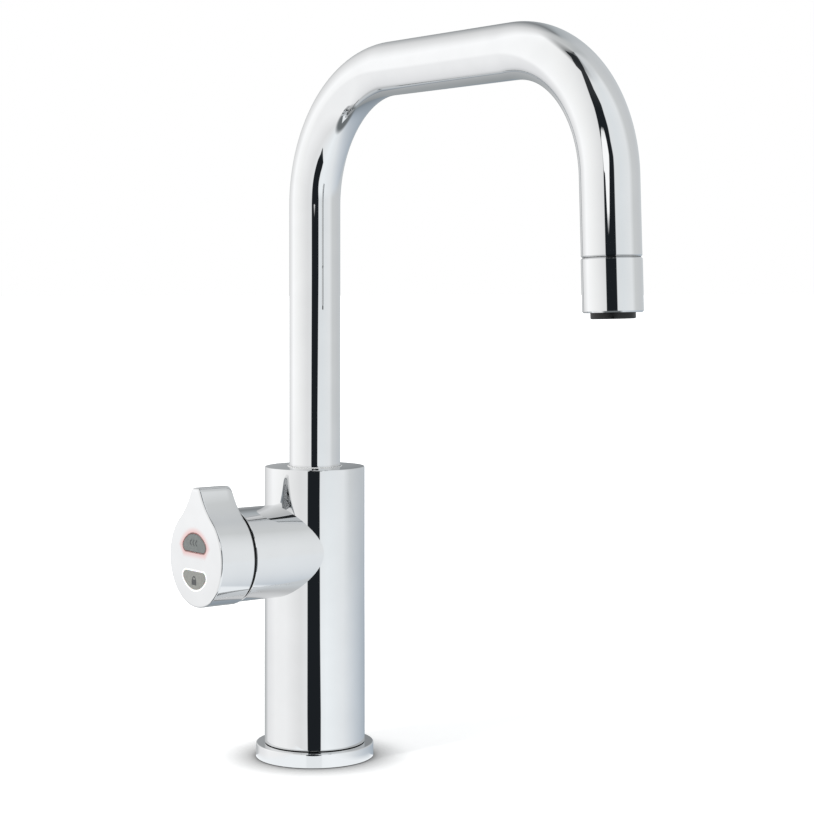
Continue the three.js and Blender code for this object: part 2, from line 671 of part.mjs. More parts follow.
/** The lever's frame: x towards the spout, y up, z outwards along the boss. */
function leverFrame() {
  const group = new THREE.Group();
  const basis = new THREE.Matrix4().makeBasis(
    new THREE.Vector3(0, -1, 0), new THREE.Vector3(0, 0, 1), new THREE.Vector3(-1, 0, 0),
  );
  group.quaternion.setFromRotationMatrix(basis);
  group.position.set(0, 0, LEVER_AXIS);
  return group;
}

/** The centring spring's route: a leg, a bend, the turns, a bend and a leg. */
function springRoute() {
  const stations = [];
  const place = (x, y, z, along) => stations.push({ at: new THREE.Vector3(x, y, z), along });
  const bend = 3;
  const bendAt = (i) => (i * Math.PI) / 2 / bend;
  const up = new THREE.Vector3(0, 0, 1);

  place(SPRING_RADIUS, -SPRING_BEND_RADIUS, SPRING_START - SPRING_BEND_RADIUS - SPRING_LEG, up);
  for (let i = 0; i < bend; i += 1) {
    const [s, c] = [Math.sin(bendAt(i)), Math.cos(bendAt(i))];
    const drop = SPRING_BEND_RADIUS * (1 - s);
    place(SPRING_RADIUS, -SPRING_BEND_RADIUS * c, SPRING_START - drop, new THREE.Vector3(0, s, c));
  }
  const turn = 12;
  for (let i = 0; i <= turn * SPRING_TURNS; i += 1) {
    const angle = (i * 2 * Math.PI) / turn;
    const [s, c] = [Math.sin(angle), Math.cos(angle)];
    const rise = SPRING_PITCH / (2 * Math.PI);
    const along = new THREE.Vector3(-s * SPRING_RADIUS, c * SPRING_RADIUS, rise).normalize();
    place(SPRING_RADIUS * c, SPRING_RADIUS * s, SPRING_START + rise * angle, along);
  }
  for (let i = 1; i <= bend; i += 1) {
    const [s, c] = [Math.sin(bendAt(i)), Math.cos(bendAt(i))];
    const rise = SPRING_BEND_RADIUS * (1 - c);
    place(SPRING_RADIUS, SPRING_BEND_RADIUS * s, SPRING_END + rise, new THREE.Vector3(0, c, s));
  }
  place(SPRING_RADIUS, SPRING_BEND_RADIUS, SPRING_END + SPRING_BEND_RADIUS + SPRING_LEG, up);
  return new Route(stations);
}

/** A place for each of the two posts that carry the sensor board. */
const POST_PLACES = [-1, 1].map((side) => [0, side * POST_OFFSET]);

function makeLeverBearing() {
  const group = leverFrame();
  const rim = BOSS_RADIUS - CARRIER_RIM_INSET;
  const hubFront = WASHER_BACK - SEAT_GAP / 2;
  const profile = turned([
    [HUB_BORE, CARRIER_BACK],
    [BOSS_BORE - RUNNING_FIT, CARRIER_BACK],
    [BOSS_BORE - RUNNING_FIT, BOSS_REACH + SEAT_GAP / 2],
    [rim, BOSS_REACH + SEAT_GAP / 2],
    [rim, CARRIER_FRONT],
    [SPRING_POCKET_RADIUS, CARRIER_FRONT],
    [SPRING_POCKET_RADIUS, SPRING_FLOOR],
    [HUB_RADIUS, SPRING_FLOOR],
    [HUB_RADIUS, hubFront],
    [HUB_BORE, hubFront],
  ]);
  const postBack = SENSOR_FRONT + SEAT_GAP;
  const posts = POST_PLACES.map(([x, y]) => turned([
    [0, SENSOR_BACK - SEAT_GAP],
    [POST_PIN_RADIUS, SENSOR_BACK - SEAT_GAP],
    [POST_PIN_RADIUS, postBack],
    [POST_RADIUS, postBack],
    [POST_RADIUS, CARRIER_BACK + 1],
    [0, CARRIER_BACK + 1],
  ]).translate(x, y, 0));
  const legHole = bar(SPRING_WIRE_RADIUS + FIXED_FIT, CARRIER_BACK - 1, SPRING_FLOOR + 1)
    .translate(SPRING_RADIUS, -SPRING_BEND_RADIUS, 0);
  const carrier = carved(profile, { add: posts, cut: [legHole] });
  piece(group, 'bearing_carrier', carrier, BLACK_ACETAL);

  const bush = turned([
    [BUSH_BORE, BUSH_FLANGE_BACK],
    [BUSH_RADIUS + BUSH_FLANGE_REACH, BUSH_FLANGE_BACK],
    [BUSH_RADIUS + BUSH_FLANGE_REACH, BUSH_FLANGE_BACK + BUSH_FLANGE],
    [BUSH_RADIUS, BUSH_FLANGE_BACK + BUSH_FLANGE],
    [BUSH_RADIUS, hubFront],
    [BUSH_BORE, hubFront],
  ]);
  piece(group, 'spindle_bush', bush, BRASS);
  const washer = ring(BUSH_BORE + RUNNING_FIT, HUB_RADIUS, WASHER_BACK, LEVER_BACK - SEAT_GAP);
  piece(group, 'thrust_washer', washer, WHITE_PTFE);
  piece(group, 'centring_spring', tube(springRoute(), SPRING_WIRE_RADIUS, 6), STAINLESS);

  const chip = block(SWITCH_SIZE, SWITCH_SIZE / 2, SENSOR_BACK - 1, SENSOR_BACK + 1).translate(-8, 0, 0);
  const board = carved(bar(SENSOR_RADIUS, SENSOR_BACK, SENSOR_FRONT), {
    add: [chip],
    cut: POST_PLACES.map(([x, y]) => (
      bar(POST_PIN_RADIUS + FIXED_FIT, SENSOR_BACK - 1, SENSOR_FRONT + 1).translate(x, y, 0)
    )),
  });
  piece(group, 'sensor_board', board, BOARD_GREEN);
  return group;
}

// ---- lever -----------------------------------------------------------------------

/** The lever's teardrop outline, drawn in by an inset all round. */
function teardrop(inset) {
  const near = LEVER_RADIUS + LEVER_FLANK_RADIUS;
  const far = LEVER_TIP_RADIUS + LEVER_FLANK_RADIUS;
  const flankY = (near ** 2 - far ** 2 + LEVER_TIP_HEIGHT ** 2) / (2 * LEVER_TIP_HEIGHT);
  const flankX = Math.sqrt(near ** 2 - flankY ** 2);
  const low = Math.atan2(flankY, flankX);
  const high = Math.atan2(flankY - LEVER_TIP_HEIGHT, flankX);
  return new THREE.Shape([
    ...arc(0, 0, LEVER_RADIUS - inset, Math.PI - low, 2 * Math.PI + low),
    ...arc(flankX, flankY, LEVER_FLANK_RADIUS + inset, Math.PI + low, Math.PI + high),
    ...arc(0, LEVER_TIP_HEIGHT, LEVER_TIP_RADIUS - inset, high, Math.PI - high),
    ...arc(-flankX, flankY, LEVER_FLANK_RADIUS + inset, -high, -low),
  ]);
}

/** A button's dome outline, grown by a margin, with its flat edge along x. */
function dome(grow) {
  const side = BUTTON_HALF_WIDTH - BUTTON_CORNER_RADIUS;
  const drop = BUTTON_HEIGHT - BUTTON_CORNER_RADIUS;
  const crown = (side ** 2 + drop ** 2 - BUTTON_CORNER_RADIUS ** 2)
    / (2 * (BUTTON_HEIGHT - 2 * BUTTON_CORNER_RADIUS));
  const crownY = BUTTON_HEIGHT - crown;
  const lean = Math.atan2(BUTTON_CORNER_RADIUS - crownY, side);
  const corner = BUTTON_CORNER_RADIUS + grow;
  return new THREE.Shape([
    ...arc(-side, BUTTON_CORNER_RADIUS, corner, Math.PI - lean, 1.5 * Math.PI),
    ...arc(side, BUTTON_CORNER_RADIUS, corner, 1.5 * Math.PI, 2 * Math.PI + lean),
    ...arc(0, crownY, crown + grow, lean, Math.PI - lean),
  ]);
}

/** Moves a shape from a button's own frame to its place on the lever's face. */
function atButton(geometry, side) {
  const turnedOver = side < 0 ? geometry.rotateZ(Math.PI) : geometry;
  return turnedOver.translate(0, BUTTON_MIDDLE + side * BUTTON_SPREAD, 0);
}

/** The two buttons: the hot one above, and the safety one, turned over, below. */
const BUTTONS = [['hot', 1], ['safety', -1]];
const SWITCH_Y = BUTTON_HEIGHT / 2;

function makeLeverShell() {
  const outer = pulled(teardrop(0), LEVER_BACK + LEVER_FILLET, LEVER_FRONT - LEVER_FILLET, {
    bevelEnabled: true,
    bevelThickness: LEVER_FILLET,
    bevelSize: LEVER_FILLET,
    bevelOffset: -LEVER_FILLET,
    bevelSegments: 1,
  });
  const windowGrow = FIXED_FIT + LIGHT_RING_WALL + FIXED_FIT;
  const windows = BUTTONS.map(([, side]) => (
    atButton(pulled(dome(windowGrow), LEVER_FACE_INSIDE - 1, LEVER_FRONT + 1), side)
  ));
  const hollow = pulled(teardrop(LEVER_WALL), LEVER_BACK - 1, LEVER_FACE_INSIDE);
  return carved(outer, { cut: [hollow, ...windows] });
}

function makeBackplate() {
  const hubFront = SPINDLE_FRONT - SEAT_GAP;
  const plateFront = LEVER_BACK + BACKPLATE_THICKNESS;
  const hubRadius = (SPINDLE_HEX_FLATS + 2 * RUNNING_FIT) / Math.sqrt(3) + BACKPLATE_HUB_WALL;
  const posts = [-1, 1].map((side) => (
    bar(BOARD_POST_RADIUS, LEVER_BACK + 1, LEVER_BOARD_BACK - SEAT_GAP)
      .translate(side * BOARD_SCREW_OFFSET, 0, 0)
  ));
  const screwTip = LEVER_BOARD_FRONT - BOARD_SCREW_LENGTH;
  const screwHoles = [-1, 1].map((side) => (
    bar(BOARD_SCREW_RADIUS + RUNNING_FIT, screwTip - SEAT_GAP, LEVER_BOARD_BACK)
      .translate(side * BOARD_SCREW_OFFSET, 0, 0)
  ));
  const legTop = SPRING_END + SPRING_BEND_RADIUS + SPRING_LEG;
  const legHole = bar(SPRING_WIRE_RADIUS + FIXED_FIT, LEVER_BACK - 1, legTop + SEAT_GAP)
    .translate(SPRING_RADIUS, SPRING_BEND_RADIUS, 0);
  return carved(pulled(teardrop(LEVER_WALL + FIXED_FIT), LEVER_BACK, plateFront), {
    add: [bar(hubRadius, LEVER_BACK + 1, hubFront), ...posts],
    cut: [
      bar(SPINDLE_RADIUS + FIXED_FIT, LEVER_BACK - 1, plateFront + 1),
      pulled(hexagon(SPINDLE_HEX_FLATS + 2 * RUNNING_FIT), plateFront, hubFront + 1),
      ...screwHoles,
      legHole,
    ],
  });
}

function makeSpindle() {
  const groove = SPINDLE_RADIUS - CIRCLIP_BITE;
  const shaft = turned([
    [0, SPINDLE_BACK],
    [SPINDLE_RADIUS, SPINDLE_BACK],
    [SPINDLE_RADIUS, CIRCLIP_BACK - SEAT_GAP / 2],
    [groove, CIRCLIP_BACK - SEAT_GAP / 2],
    [groove, CIRCLIP_BACK + CIRCLIP_THICKNESS + SEAT_GAP / 2],
    [SPINDLE_RADIUS, CIRCLIP_BACK + CIRCLIP_THICKNESS + SEAT_GAP / 2],
    [SPINDLE_RADIUS, SPINDLE_FRONT - 1],
    [0, SPINDLE_FRONT - 1],
  ]);
  return carved(shaft, {
    add: [pulled(hexagon(SPINDLE_HEX_FLATS), SPINDLE_HEX_BACK, SPINDLE_FRONT)],
    cut: [bar(SPINDLE_BORE_RADIUS, SPINDLE_BACK - 1, SPINDLE_FRONT + 1)],
  });
}

function makeCirclip() {
  const inner = SPINDLE_RADIUS - CIRCLIP_BITE + SEAT_GAP;
  const outer = inner + CIRCLIP_WALL;
  const half = CIRCLIP_OPENING / 2;
  const shape = new THREE.Shape();
  shape.absarc(0, 0, outer, half, 2 * Math.PI - half);
  shape.absarc(0, 0, inner, 2 * Math.PI - half, half, true);
  return pulled(shape, CIRCLIP_BACK, CIRCLIP_BACK + CIRCLIP_THICKNESS, { curveSegments: 14 });
}

function makeBoardScrew(side) {
  const seat = LEVER_BOARD_FRONT + SEAT_GAP / 2;
  return turned([
    [0, seat - BOARD_SCREW_LENGTH],
    [BOARD_SCREW_RADIUS, seat - BOARD_SCREW_LENGTH],
    [BOARD_SCREW_RADIUS, seat],
    [BOARD_SCREW_HEAD_RADIUS, seat],
    [BOARD_SCREW_HEAD_RADIUS, seat + BOARD_SCREW_HEAD / 2],
    [BOARD_SCREW_HEAD_RADIUS / 2, seat + BOARD_SCREW_HEAD],
    [0, seat + BOARD_SCREW_HEAD],
  ]).translate(side * BOARD_SCREW_OFFSET, 0, 0);
}

function makeLightRing(side) {
  const bore = new THREE.Path(dome(FIXED_FIT).getPoints().reverse());
  const wall = dome(FIXED_FIT + LIGHT_RING_WALL);
  wall.holes.push(bore);
  const rim = dome(FIXED_FIT + LIGHT_RING_WALL + LIGHT_RING_RIM_REACH);
  rim.holes.push(bore);
  const rimFront = LEVER_FACE_INSIDE - SEAT_GAP / 2;
  const frame = carved(pulled(wall, rimFront - LIGHT_RING_RIM, LEVER_FRONT + LIGHT_RING_PROUD), {
    add: [pulled(rim, rimFront - LIGHT_RING_RIM, rimFront)],
  });
  return atButton(frame, side);
}

function makeButton(side) {
  const rimFront = LEVER_FACE_INSIDE - LIGHT_RING_RIM - FIXED_FIT;
  const rimBack = rimFront - BUTTON_RIM;
  const button = carved(pulled(dome(0), rimBack, LEVER_FRONT + BUTTON_PROUD), {
    add: [
      pulled(dome(BUTTON_RIM_REACH), rimBack, rimFront),
      bar(PLUNGER_RADIUS, SWITCH_FRONT - PLUNGER_DIP, rimBack + 1).translate(0, SWITCH_Y, 0),
    ],
  });
  return atButton(button, side);
}

function makeSwitch(side) {
  const back = LEVER_BOARD_FRONT + SEAT_GAP;
  const wellFloor = SWITCH_FRONT - PLUNGER_DIP - BUTTON_TRAVEL - SEAT_GAP;
  const body = carved(block(SWITCH_SIZE, SWITCH_SIZE, back, SWITCH_FRONT), {
    cut: [bar(PLUNGER_RADIUS + FIXED_FIT, wellFloor, SWITCH_FRONT + 1)],
  });
  return atButton(body.translate(0, SWITCH_Y, 0), side);
}

function makeLed(side) {
  const back = LEVER_BOARD_FRONT + SEAT_GAP;
  const led = block(LED_SIZE, LED_SIZE, back, back + LED_HEIGHT);
  return atButton(led.translate(LED_OFFSET, SWITCH_Y, 0), side);
}

function makeLever() {
  const group = leverFrame();
  piece(group, 'lever_shell', makeLeverShell(), CHROME);
  piece(group, 'lever_backplate', makeBackplate(), BLACK_ACETAL);
  piece(group, 'lever_spindle', makeSpindle(), STAINLESS);
  piece(group, 'spindle_circlip', makeCirclip(), STAINLESS);

  const magnetBore = SPINDLE_BORE_RADIUS + FIXED_FIT;
  const magnet = ring(magnetBore, SPINDLE_RADIUS - CIRCLIP_BITE, MAGNET_BACK, MAGNET_FRONT);
  piece(group, 'position_magnet', magnet, STAINLESS);
  const lead = bar(LEAD_RADIUS, SENSOR_FRONT + FIXED_FIT, LEVER_BOARD_BACK - FIXED_FIT);
  piece(group, 'lever_lead', lead, BLACK_RUBBER);

  const boardRadius = LEVER_RADIUS - LEVER_WALL - BOARD_EDGE_GAP;
  const board = carved(bar(boardRadius, LEVER_BOARD_BACK, LEVER_BOARD_FRONT), {
    cut: [-1, 1].map((side) => (
      bar(BOARD_SCREW_RADIUS + FIXED_FIT, LEVER_BOARD_BACK - 1, LEVER_BOARD_FRONT + 1)
        .translate(side * BOARD_SCREW_OFFSET, 0, 0)
    )),
  });
  piece(group, 'button_board', board, BOARD_GREEN);
  piece(group, 'board_screw_rear', makeBoardScrew(-1), STAINLESS);
  piece(group, 'board_screw_front', makeBoardScrew(1), STAINLESS);

  for (const [name, side] of BUTTONS) {
    piece(group, `${name}_light_ring`, makeLightRing(side), CLEAR_PLASTIC);
    piece(group, `${name}_button`, makeButton(side), SMOKED_PLASTIC);
    piece(group, `${name}_switch`, makeSwitch(side), GREY_PLASTIC);
    piece(group, `${name}_led`, makeLed(side), CLEAR_PLASTIC);
  }
  return group;
}

// ---- spout -----------------------------------------------------------------------

/** The spout's centreline, from a height on the post to a distance down the leg. */
function spoutRoute(from, legEnd, bendSteps = BEND_STEPS) {
  const stations = [];
  const place = (s, z, angle) => stations.push({
    at: new THREE.Vector3(0, -s, z),
    along: new THREE.Vector3(0, -Math.sin(angle), Math.cos(angle)),
  });
  place(0, from, 0);
  for (let i = 0; i <= bendSteps; i += 1) {
    const angle = (i * Math.PI) / 2 / bendSteps;
    const s = REAR_BEND_RADIUS * (1 - Math.cos(angle));
    place(s, BEND_START + REAR_BEND_RADIUS * Math.sin(angle), angle);
  }
  const frontStart = REAR_BEND_RADIUS + ARM_LENGTH;
  const frontTurn = Math.PI / 2 - LEG_LEAN;
  for (let i = 0; i <= bendSteps; i += 1) {
    const angle = (i * frontTurn) / bendSteps;
    const s = frontStart + FRONT_BEND_RADIUS * Math.sin(angle);
    place(s, ARM_HEIGHT - FRONT_BEND_RADIUS * (1 - Math.cos(angle)), Math.PI / 2 + angle);
  }
  const leg = legPoint(legEnd);
  place(leg.s, leg.z, Math.PI - LEG_LEAN);
  return new Route(stations);
}

/** The point on the leg's axis at a distance below the front bend. */
function legPoint(distance) {
  const turn = Math.PI / 2 - LEG_LEAN;
  const s = REAR_BEND_RADIUS + ARM_LENGTH + FRONT_BEND_RADIUS * Math.sin(turn);
  const z = ARM_HEIGHT - FRONT_BEND_RADIUS * (1 - Math.cos(turn));
  return { s: s + distance * Math.sin(LEG_LEAN), z: z - distance * Math.cos(LEG_LEAN) };
}

/** The nozzle's frame: its origin at the end of the tube, z down the leg. */
function nozzleFrame() {
  const group = new THREE.Group();
  const end = legPoint(LEG_LENGTH);
  group.position.set(0, -end.s, end.z);
  group.rotation.x = Math.PI - LEG_LEAN;
  group.updateMatrix();
  return group;
}

function makeFoot() {
  const flange = SPOUT_RADIUS - SEAT_GAP;
  const groove = (middle) => ring(
    GROOVE_RADIUS, FOOT_RADIUS + 1, middle - GROOVE_WIDTH / 2, middle + GROOVE_WIDTH / 2,
  );
  const slotEnd = SWIVEL_RANGE + Math.asin((STOP_TIP_RADIUS + STOP_CLEARANCE) / (FOOT_RADIUS - STOP_SLOT_DEPTH));
  const slot = new THREE.Shape();
  slot.absarc(0, 0, FOOT_RADIUS + 1, Math.PI / 2 - slotEnd, Math.PI / 2 + slotEnd);
  slot.absarc(0, 0, FOOT_RADIUS - STOP_SLOT_DEPTH, Math.PI / 2 + slotEnd, Math.PI / 2 - slotEnd, true);
  const foot = turned([
    [0, FOOT_BOTTOM],
    [FOOT_RADIUS, FOOT_BOTTOM],
    [FOOT_RADIUS, SOCKET_TOP],
    [flange, SOCKET_TOP],
    [flange, FOOT_FLANGE_TOP],
    [FOOT_RADIUS, FOOT_FLANGE_TOP],
    [FOOT_RADIUS, FOOT_TOP],
    [0, FOOT_TOP],
  ]);
  return carved(foot, {
    cut: [
      groove(LOWER_RING),
      groove(UPPER_RING),
      pulled(slot, STOP_AXIS - STOP_SLOT_HALF, STOP_AXIS + STOP_SLOT_HALF, { curveSegments: 10 }),
      bar(WATER_BORE, FOOT_BOTTOM - 1, FOOT_TOP),
      bar(WATER_SEAT, FOOT_TOP - TUBE_SOCKET_DEPTH, FOOT_TOP + 1),
    ],
  });
}

/** An O-ring about Z. */
function oRing(middle) {
  const sides = 6;
  const section = Array.from({ length: sides }, (_, i) => {
    const angle = (i * 2 * Math.PI) / sides;
    return [RING_RADIUS + RING_SECTION * Math.cos(angle), middle + RING_SECTION * Math.sin(angle)];
  });
  return turned(section);
}

function makeSpout() {
  const group = new THREE.Group();
  const nozzle = nozzleFrame();
  const route = spoutRoute(FOOT_FLANGE_TOP, LEG_LENGTH);
  const corner = turned([
    [SPOUT_RADIUS - SPOUT_END_CHAMFER, FIXED_FIT],
    [SPOUT_RADIUS + FIXED_FIT, -SPOUT_END_CHAMFER - FIXED_FIT],
    [SPOUT_RADIUS + FIXED_FIT, FIXED_FIT],
  ]).applyMatrix4(nozzle.matrix);
  const pipe = carved(tube(route, SPOUT_RADIUS, facets(SPOUT_RADIUS), SPOUT_BORE), { cut: [corner] });
  piece(group, 'spout_tube', pipe, CHROME);
  piece(group, 'spout_foot', makeFoot(), BRASS);
  piece(group, 'lower_o_ring', oRing(LOWER_RING), BLACK_RUBBER);
  piece(group, 'upper_o_ring', oRing(UPPER_RING), BLACK_RUBBER);

  const innerStart = FOOT_TOP - TUBE_SOCKET_DEPTH + SEAT_GAP;
  const innerEnd = LEG_LENGTH - ADAPTER_INSERT + TUBE_SOCKET_DEPTH - SEAT_GAP;
  const inner = tube(spoutRoute(innerStart, innerEnd, BEND_STEPS / 2), WATER_TUBE_RADIUS, 8, WATER_BORE);
  piece(group, 'inner_spout_tube', inner, STAINLESS);

  fillNozzle(nozzle);
  group.add(nozzle);
  return group;
}

// ---- nozzle ----------------------------------------------------------------------

/** The honeycomb disc: a ring of hexagonal cells round a middle one, and another. */
function makeStraightener(radius, from) {
  const disc = new THREE.Shape().absarc(0, 0, radius, 0, 2 * Math.PI);
  const stepX = CELL_PITCH * Math.cos(Math.PI / 6);
  for (let column = -CELL_RINGS; column <= CELL_RINGS; column += 1) {
    const cells = 2 * CELL_RINGS + 1 - Math.abs(column);
    for (let row = 0; row < cells; row += 1) {
      const y = (row - (cells - 1) / 2) * CELL_PITCH;
      const cell = hexagon(CELL_FLATS, column * stepX, y);
      disc.holes.push(new THREE.Path(cell.getPoints().reverse()));
    }
  }
  return pulled(disc, from, from + STRAIGHTENER_THICKNESS, { curveSegments: 10 });
}

function fillNozzle(group) {
  const sleeveBottom = NOZZLE_GROOVE + NOZZLE_LENGTH;
  const threadTop = ADAPTER_SHOULDER + SEAT_GAP;
  const lipTop = sleeveBottom - NOZZLE_LIP;
  const sleeve = turned([
    [SPOUT_BORE, NOZZLE_GROOVE],
    [NOZZLE_RADIUS - NOZZLE_CHAMFER, NOZZLE_GROOVE],
    [NOZZLE_RADIUS, NOZZLE_GROOVE + NOZZLE_CHAMFER],
    [NOZZLE_RADIUS, sleeveBottom - NOZZLE_CHAMFER],
    [NOZZLE_RADIUS - NOZZLE_CHAMFER, sleeveBottom],
    [AERATOR_NECK_RADIUS + RUNNING_FIT, sleeveBottom],
    [AERATOR_NECK_RADIUS + RUNNING_FIT, lipTop],
    [NOZZLE_THREAD_RADIUS, lipTop],
    [NOZZLE_THREAD_RADIUS, threadTop],
    [SPOUT_BORE, threadTop],
  ]);
  piece(group, 'nozzle_sleeve', sleeve, CHROME);

  const seat = TUBE_SOCKET_DEPTH - ADAPTER_INSERT;
  const mouth = NOZZLE_THREAD_RADIUS - FIXED_FIT - AERATOR_WALL;
  const adapter = turned([
    [WATER_SEAT, -ADAPTER_INSERT],
    [FOOT_RADIUS, -ADAPTER_INSERT],
    [FOOT_RADIUS, ADAPTER_SHOULDER],
    [NOZZLE_THREAD_RADIUS - FIXED_FIT, ADAPTER_SHOULDER],
    [NOZZLE_THREAD_RADIUS - FIXED_FIT, ADAPTER_LENGTH],
    [mouth, ADAPTER_LENGTH],
    [mouth, ADAPTER_SHOULDER],
    [WATER_BORE, ADAPTER_SHOULDER],
    [WATER_BORE, seat],
    [WATER_SEAT, seat],
  ]);
  piece(group, 'nozzle_adapter', adapter, BRASS);

  const sealTop = ADAPTER_LENGTH + SEAT_GAP / 2;
  const sealBottom = sealTop + AERATOR_SEAL;
  const cupRadius = NOZZLE_THREAD_RADIUS - FIXED_FIT;
  const cupBore = cupRadius - AERATOR_WALL;
  piece(group, 'aerator_seal', ring(cupBore - 1, cupRadius, sealTop, sealBottom), BLACK_RUBBER);

  const cupTop = sealBottom + SEAT_GAP / 2;
  const outlet = sleeveBottom + AERATOR_PROUD;
  const ledge = cupTop + STRAIGHTENER_THICKNESS + SEAT_GAP;
  const housing = turned([
    [cupBore, cupTop],
    [cupRadius, cupTop],
    [cupRadius, lipTop - SEAT_GAP],
    [AERATOR_NECK_RADIUS, lipTop - SEAT_GAP],
    [AERATOR_NECK_RADIUS, outlet - NOZZLE_CHAMFER],
    [AERATOR_NECK_RADIUS - NOZZLE_CHAMFER, outlet],
    [AERATOR_BORE_RADIUS, outlet],
    [AERATOR_BORE_RADIUS, ledge],
    [cupBore, ledge],
  ]);
  const notchRoot = outlet - AERATOR_NOTCH_DEPTH;
  const notches = Array.from({ length: AERATOR_NOTCHES }, (_, i) => (
    block(AERATOR_NOTCH_WIDTH, AERATOR_BORE_RADIUS, notchRoot, outlet + 1)
      .translate(0, AERATOR_NECK_RADIUS, 0)
      .rotateZ(((i + 0.5) * 2 * Math.PI) / AERATOR_NOTCHES)
  ));
  piece(group, 'aerator_housing', carved(housing, { cut: notches }), BLACK_ACETAL);
  const straightener = makeStraightener(cupBore - FIXED_FIT, cupTop);
  piece(group, 'flow_straightener', straightener, WHITE_PTFE);
}

// ---- the whole tap ---------------------------------------------------------------

const tap = new THREE.Group();
tap.add(
  makeBase(), makeBody(), makeSpoutBearing(), makeShank(), makeGland(),
  makeSignalCable(), makeLeverBearing(), makeLever(), makeSpout(),
);

export default tap;
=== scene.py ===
"""Boiling water tap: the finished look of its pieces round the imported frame.

Sizes are in millimetres, measured from the bench top and the column's axis. The
spout points towards -Y and the lever towards -X.
"""

import json
import logging
import math
from collections.abc import Callable, Iterable, Sequence
from dataclasses import dataclass, field
from enum import Enum

import bmesh
import bpy
from mathutils import Matrix, Vector


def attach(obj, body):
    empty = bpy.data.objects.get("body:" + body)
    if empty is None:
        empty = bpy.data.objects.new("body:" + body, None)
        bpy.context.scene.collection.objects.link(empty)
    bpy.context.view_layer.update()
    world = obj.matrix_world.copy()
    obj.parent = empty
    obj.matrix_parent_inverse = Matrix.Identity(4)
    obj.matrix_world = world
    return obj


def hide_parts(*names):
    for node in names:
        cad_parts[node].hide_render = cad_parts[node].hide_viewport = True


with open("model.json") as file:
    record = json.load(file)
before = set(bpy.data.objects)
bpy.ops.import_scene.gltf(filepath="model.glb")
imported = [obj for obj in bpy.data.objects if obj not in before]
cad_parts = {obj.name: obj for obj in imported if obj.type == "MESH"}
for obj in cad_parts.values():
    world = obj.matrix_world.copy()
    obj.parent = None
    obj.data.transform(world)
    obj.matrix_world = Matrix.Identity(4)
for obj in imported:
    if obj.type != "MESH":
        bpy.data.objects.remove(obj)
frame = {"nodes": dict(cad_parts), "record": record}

log = logging.getLogger("tap")

Tree = bpy.types.NodeTree
Node = bpy.types.Node
Socket = bpy.types.NodeSocket

MM = 0.001
ROUND_STEPS = 160
FINE_STEPS = 192                # on the column and its boss
CREASE = math.radians(20)


# ---- colours and nodes -------------------------------------------------------


def linear(code: str) -> tuple[float, float, float, float]:
    """Turn an sRGB hex colour into Blender's linear colour.

    Args:
        code: The colour, such as "#6D7170".

    Returns:
        Red, green, blue and an alpha of 1.
    """
    parts = [int(code[i:i + 2], 16) / 255 for i in (1, 3, 5)]
    low = [c / 12.92 if c <= 0.04045 else ((c + 0.055) / 1.055) ** 2.4 for c in parts]
    return (*low, 1.0)


def add_node(tree: Tree, kind: str, values: dict | None = None, links: dict | None = None) -> Node:
    """Add a shader node.

    Args:
        tree: The node tree that gets it.
        kind: The node's type without its "ShaderNode" prefix.
        values: Properties and input values by name, inputs also by number, and
            the stops of a colour ramp as "stops".
        links: The output that feeds each input, by name or number.

    Returns:
        The new node.
    """
    node = tree.nodes.new("ShaderNode" + kind)
    for key, value in (values or {}).items():
        if key == "stops":
            stops = node.color_ramp.elements
            while len(stops) < len(value):
                stops.new(0.5)
            for stop, (place, colour) in zip(stops, value):
                stop.position = place
                stop.color = linear(colour)
        elif isinstance(key, str) and hasattr(node, key):
            setattr(node, key, value)
        else:
            node.inputs[key].default_value = value
    for key, source in (links or {}).items():
        tree.links.new(source, node.inputs[key])
    return node


# ---- finishes ----------------------------------------------------------------


